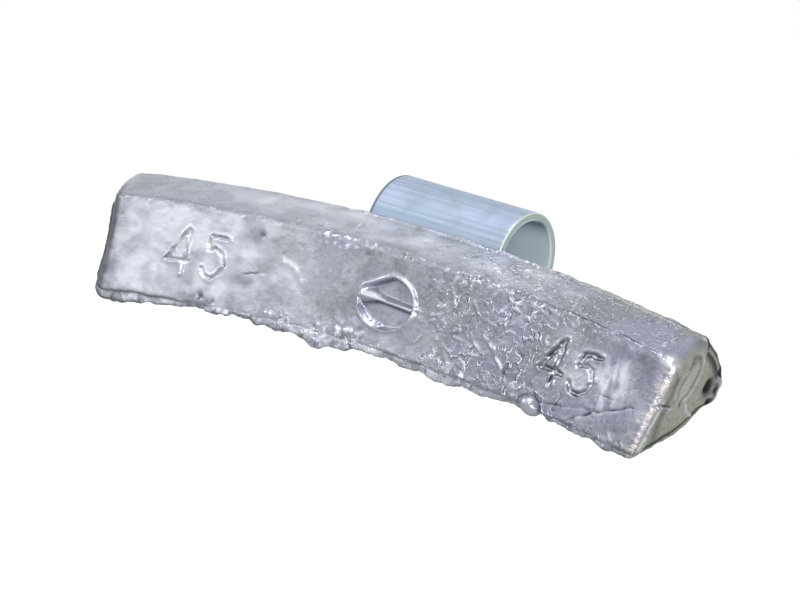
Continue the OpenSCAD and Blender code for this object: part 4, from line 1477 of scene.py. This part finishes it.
def makeStudio(c):
    world = bpy.data.worlds.new("studio")
    bpy.context.scene.world = world
    world.use_nodes = True
    tree = world.node_tree
    tree.nodes.clear()
    path = node(tree, "ShaderNodeLightPath").outputs
    way = node(tree, "ShaderNodeTexCoord").outputs["Generated"]
    apart = node(tree, "ShaderNodeSeparateXYZ", {"Vector": way}).outputs
    toLeft = node(tree, "ShaderNodeVectorMath", {
        0: way, 1: c["left"]}, operation="DOT_PRODUCT").outputs["Value"]
    ways = {"up": apart["Z"], "back": apart["Y"], "left": toLeft}
    room = 1.0
    for name, low, high, first, last, ease in c["room"]:
        light = node(tree, "ShaderNodeMapRange", {
            "Value": ways[name], "From Min": low, "From Max": high, "To Min": first, "To Max": last},
            interpolation_type=ease)
        room = node(tree, "ShaderNodeMath", {0: room, 1: light}, operation="MULTIPLY")
    mirrored = node(tree, "ShaderNodeMath", {
        0: path["Is Glossy Ray"], 1: path["Is Transmission Ray"]}, operation="MAXIMUM")
    dull = node(tree, "ShaderNodeMix", {"Factor": mirrored, "A": c["ambient"], "B": room})
    strength = node(tree, "ShaderNodeMix", {"Factor": path["Is Camera Ray"], "A": dull, "B": 1.0})
    back = node(tree, "ShaderNodeBackground", {"Color": (1, 1, 1, 1), "Strength": strength})
    node(tree, "ShaderNodeOutputWorld", {"Surface": back})
    for name, settings in c["lamps"].items():
        lamp = bpy.data.lights.new(name, "AREA")
        lamp.shape = "SQUARE"
        lamp.size = settings["size"]
        lamp.energy = settings["watts"]
        holder = bpy.data.objects.new(name, lamp)
        holder.location = settings["place"]
        holder.rotation_euler = (-Vector(settings["place"])).to_track_quat("-Z", "Y").to_euler()
        bpy.context.scene.collection.objects.link(holder)


def makeFloor(c, height):
    half = c["floorSize"] / 2
    corners = [(x, y, height) for x, y in ((-half, -half), (half, -half), (half, half), (-half, half))]
    mesh = bpy.data.meshes.new("floor")
    mesh.from_pydata(corners, [], [(0, 1, 2, 3)])
    floor = bpy.data.objects.new("floor", mesh)
    bpy.context.scene.collection.objects.link(floor)
    # white paper: dull, and lit a little from inside so that it stays white round the object's shadow
    material, tree = newMaterial("whitePaper")
    paper = node(tree, "ShaderNodeBsdfDiffuse", {"Color": linear(c["floorColour"])})
    path = node(tree, "ShaderNodeLightPath").outputs
    mirrored = node(tree, "ShaderNodeMath", {
        0: path["Is Glossy Ray"], 1: path["Is Transmission Ray"]}, operation="MAXIMUM")
    dimmed = node(tree, "ShaderNodeMath", {0: mirrored, 1: c["floorMirror"]}, operation="MULTIPLY")
    seen = node(tree, "ShaderNodeMath", {0: path["Is Camera Ray"], 1: dimmed}, operation="MAXIMUM")
    strength = node(tree, "ShaderNodeMath", {0: seen, 1: c["floorGlow"]}, operation="MULTIPLY")
    glow = node(tree, "ShaderNodeEmission", {"Color": (1, 1, 1, 1), "Strength": strength})
    both = node(tree, "ShaderNodeAddShader", {0: paper, 1: glow})
    node(tree, "ShaderNodeOutputMaterial", {"Surface": both})
    mesh.materials.append(material)


makeStudio(studio)
lowest = min((leadCasting.matrix_world @ v.co).z for v in leadCasting.data.vertices)
makeFloor(studio, lowest)
bpy.context.scene.view_settings.view_transform = "Standard"
print("studio lit")
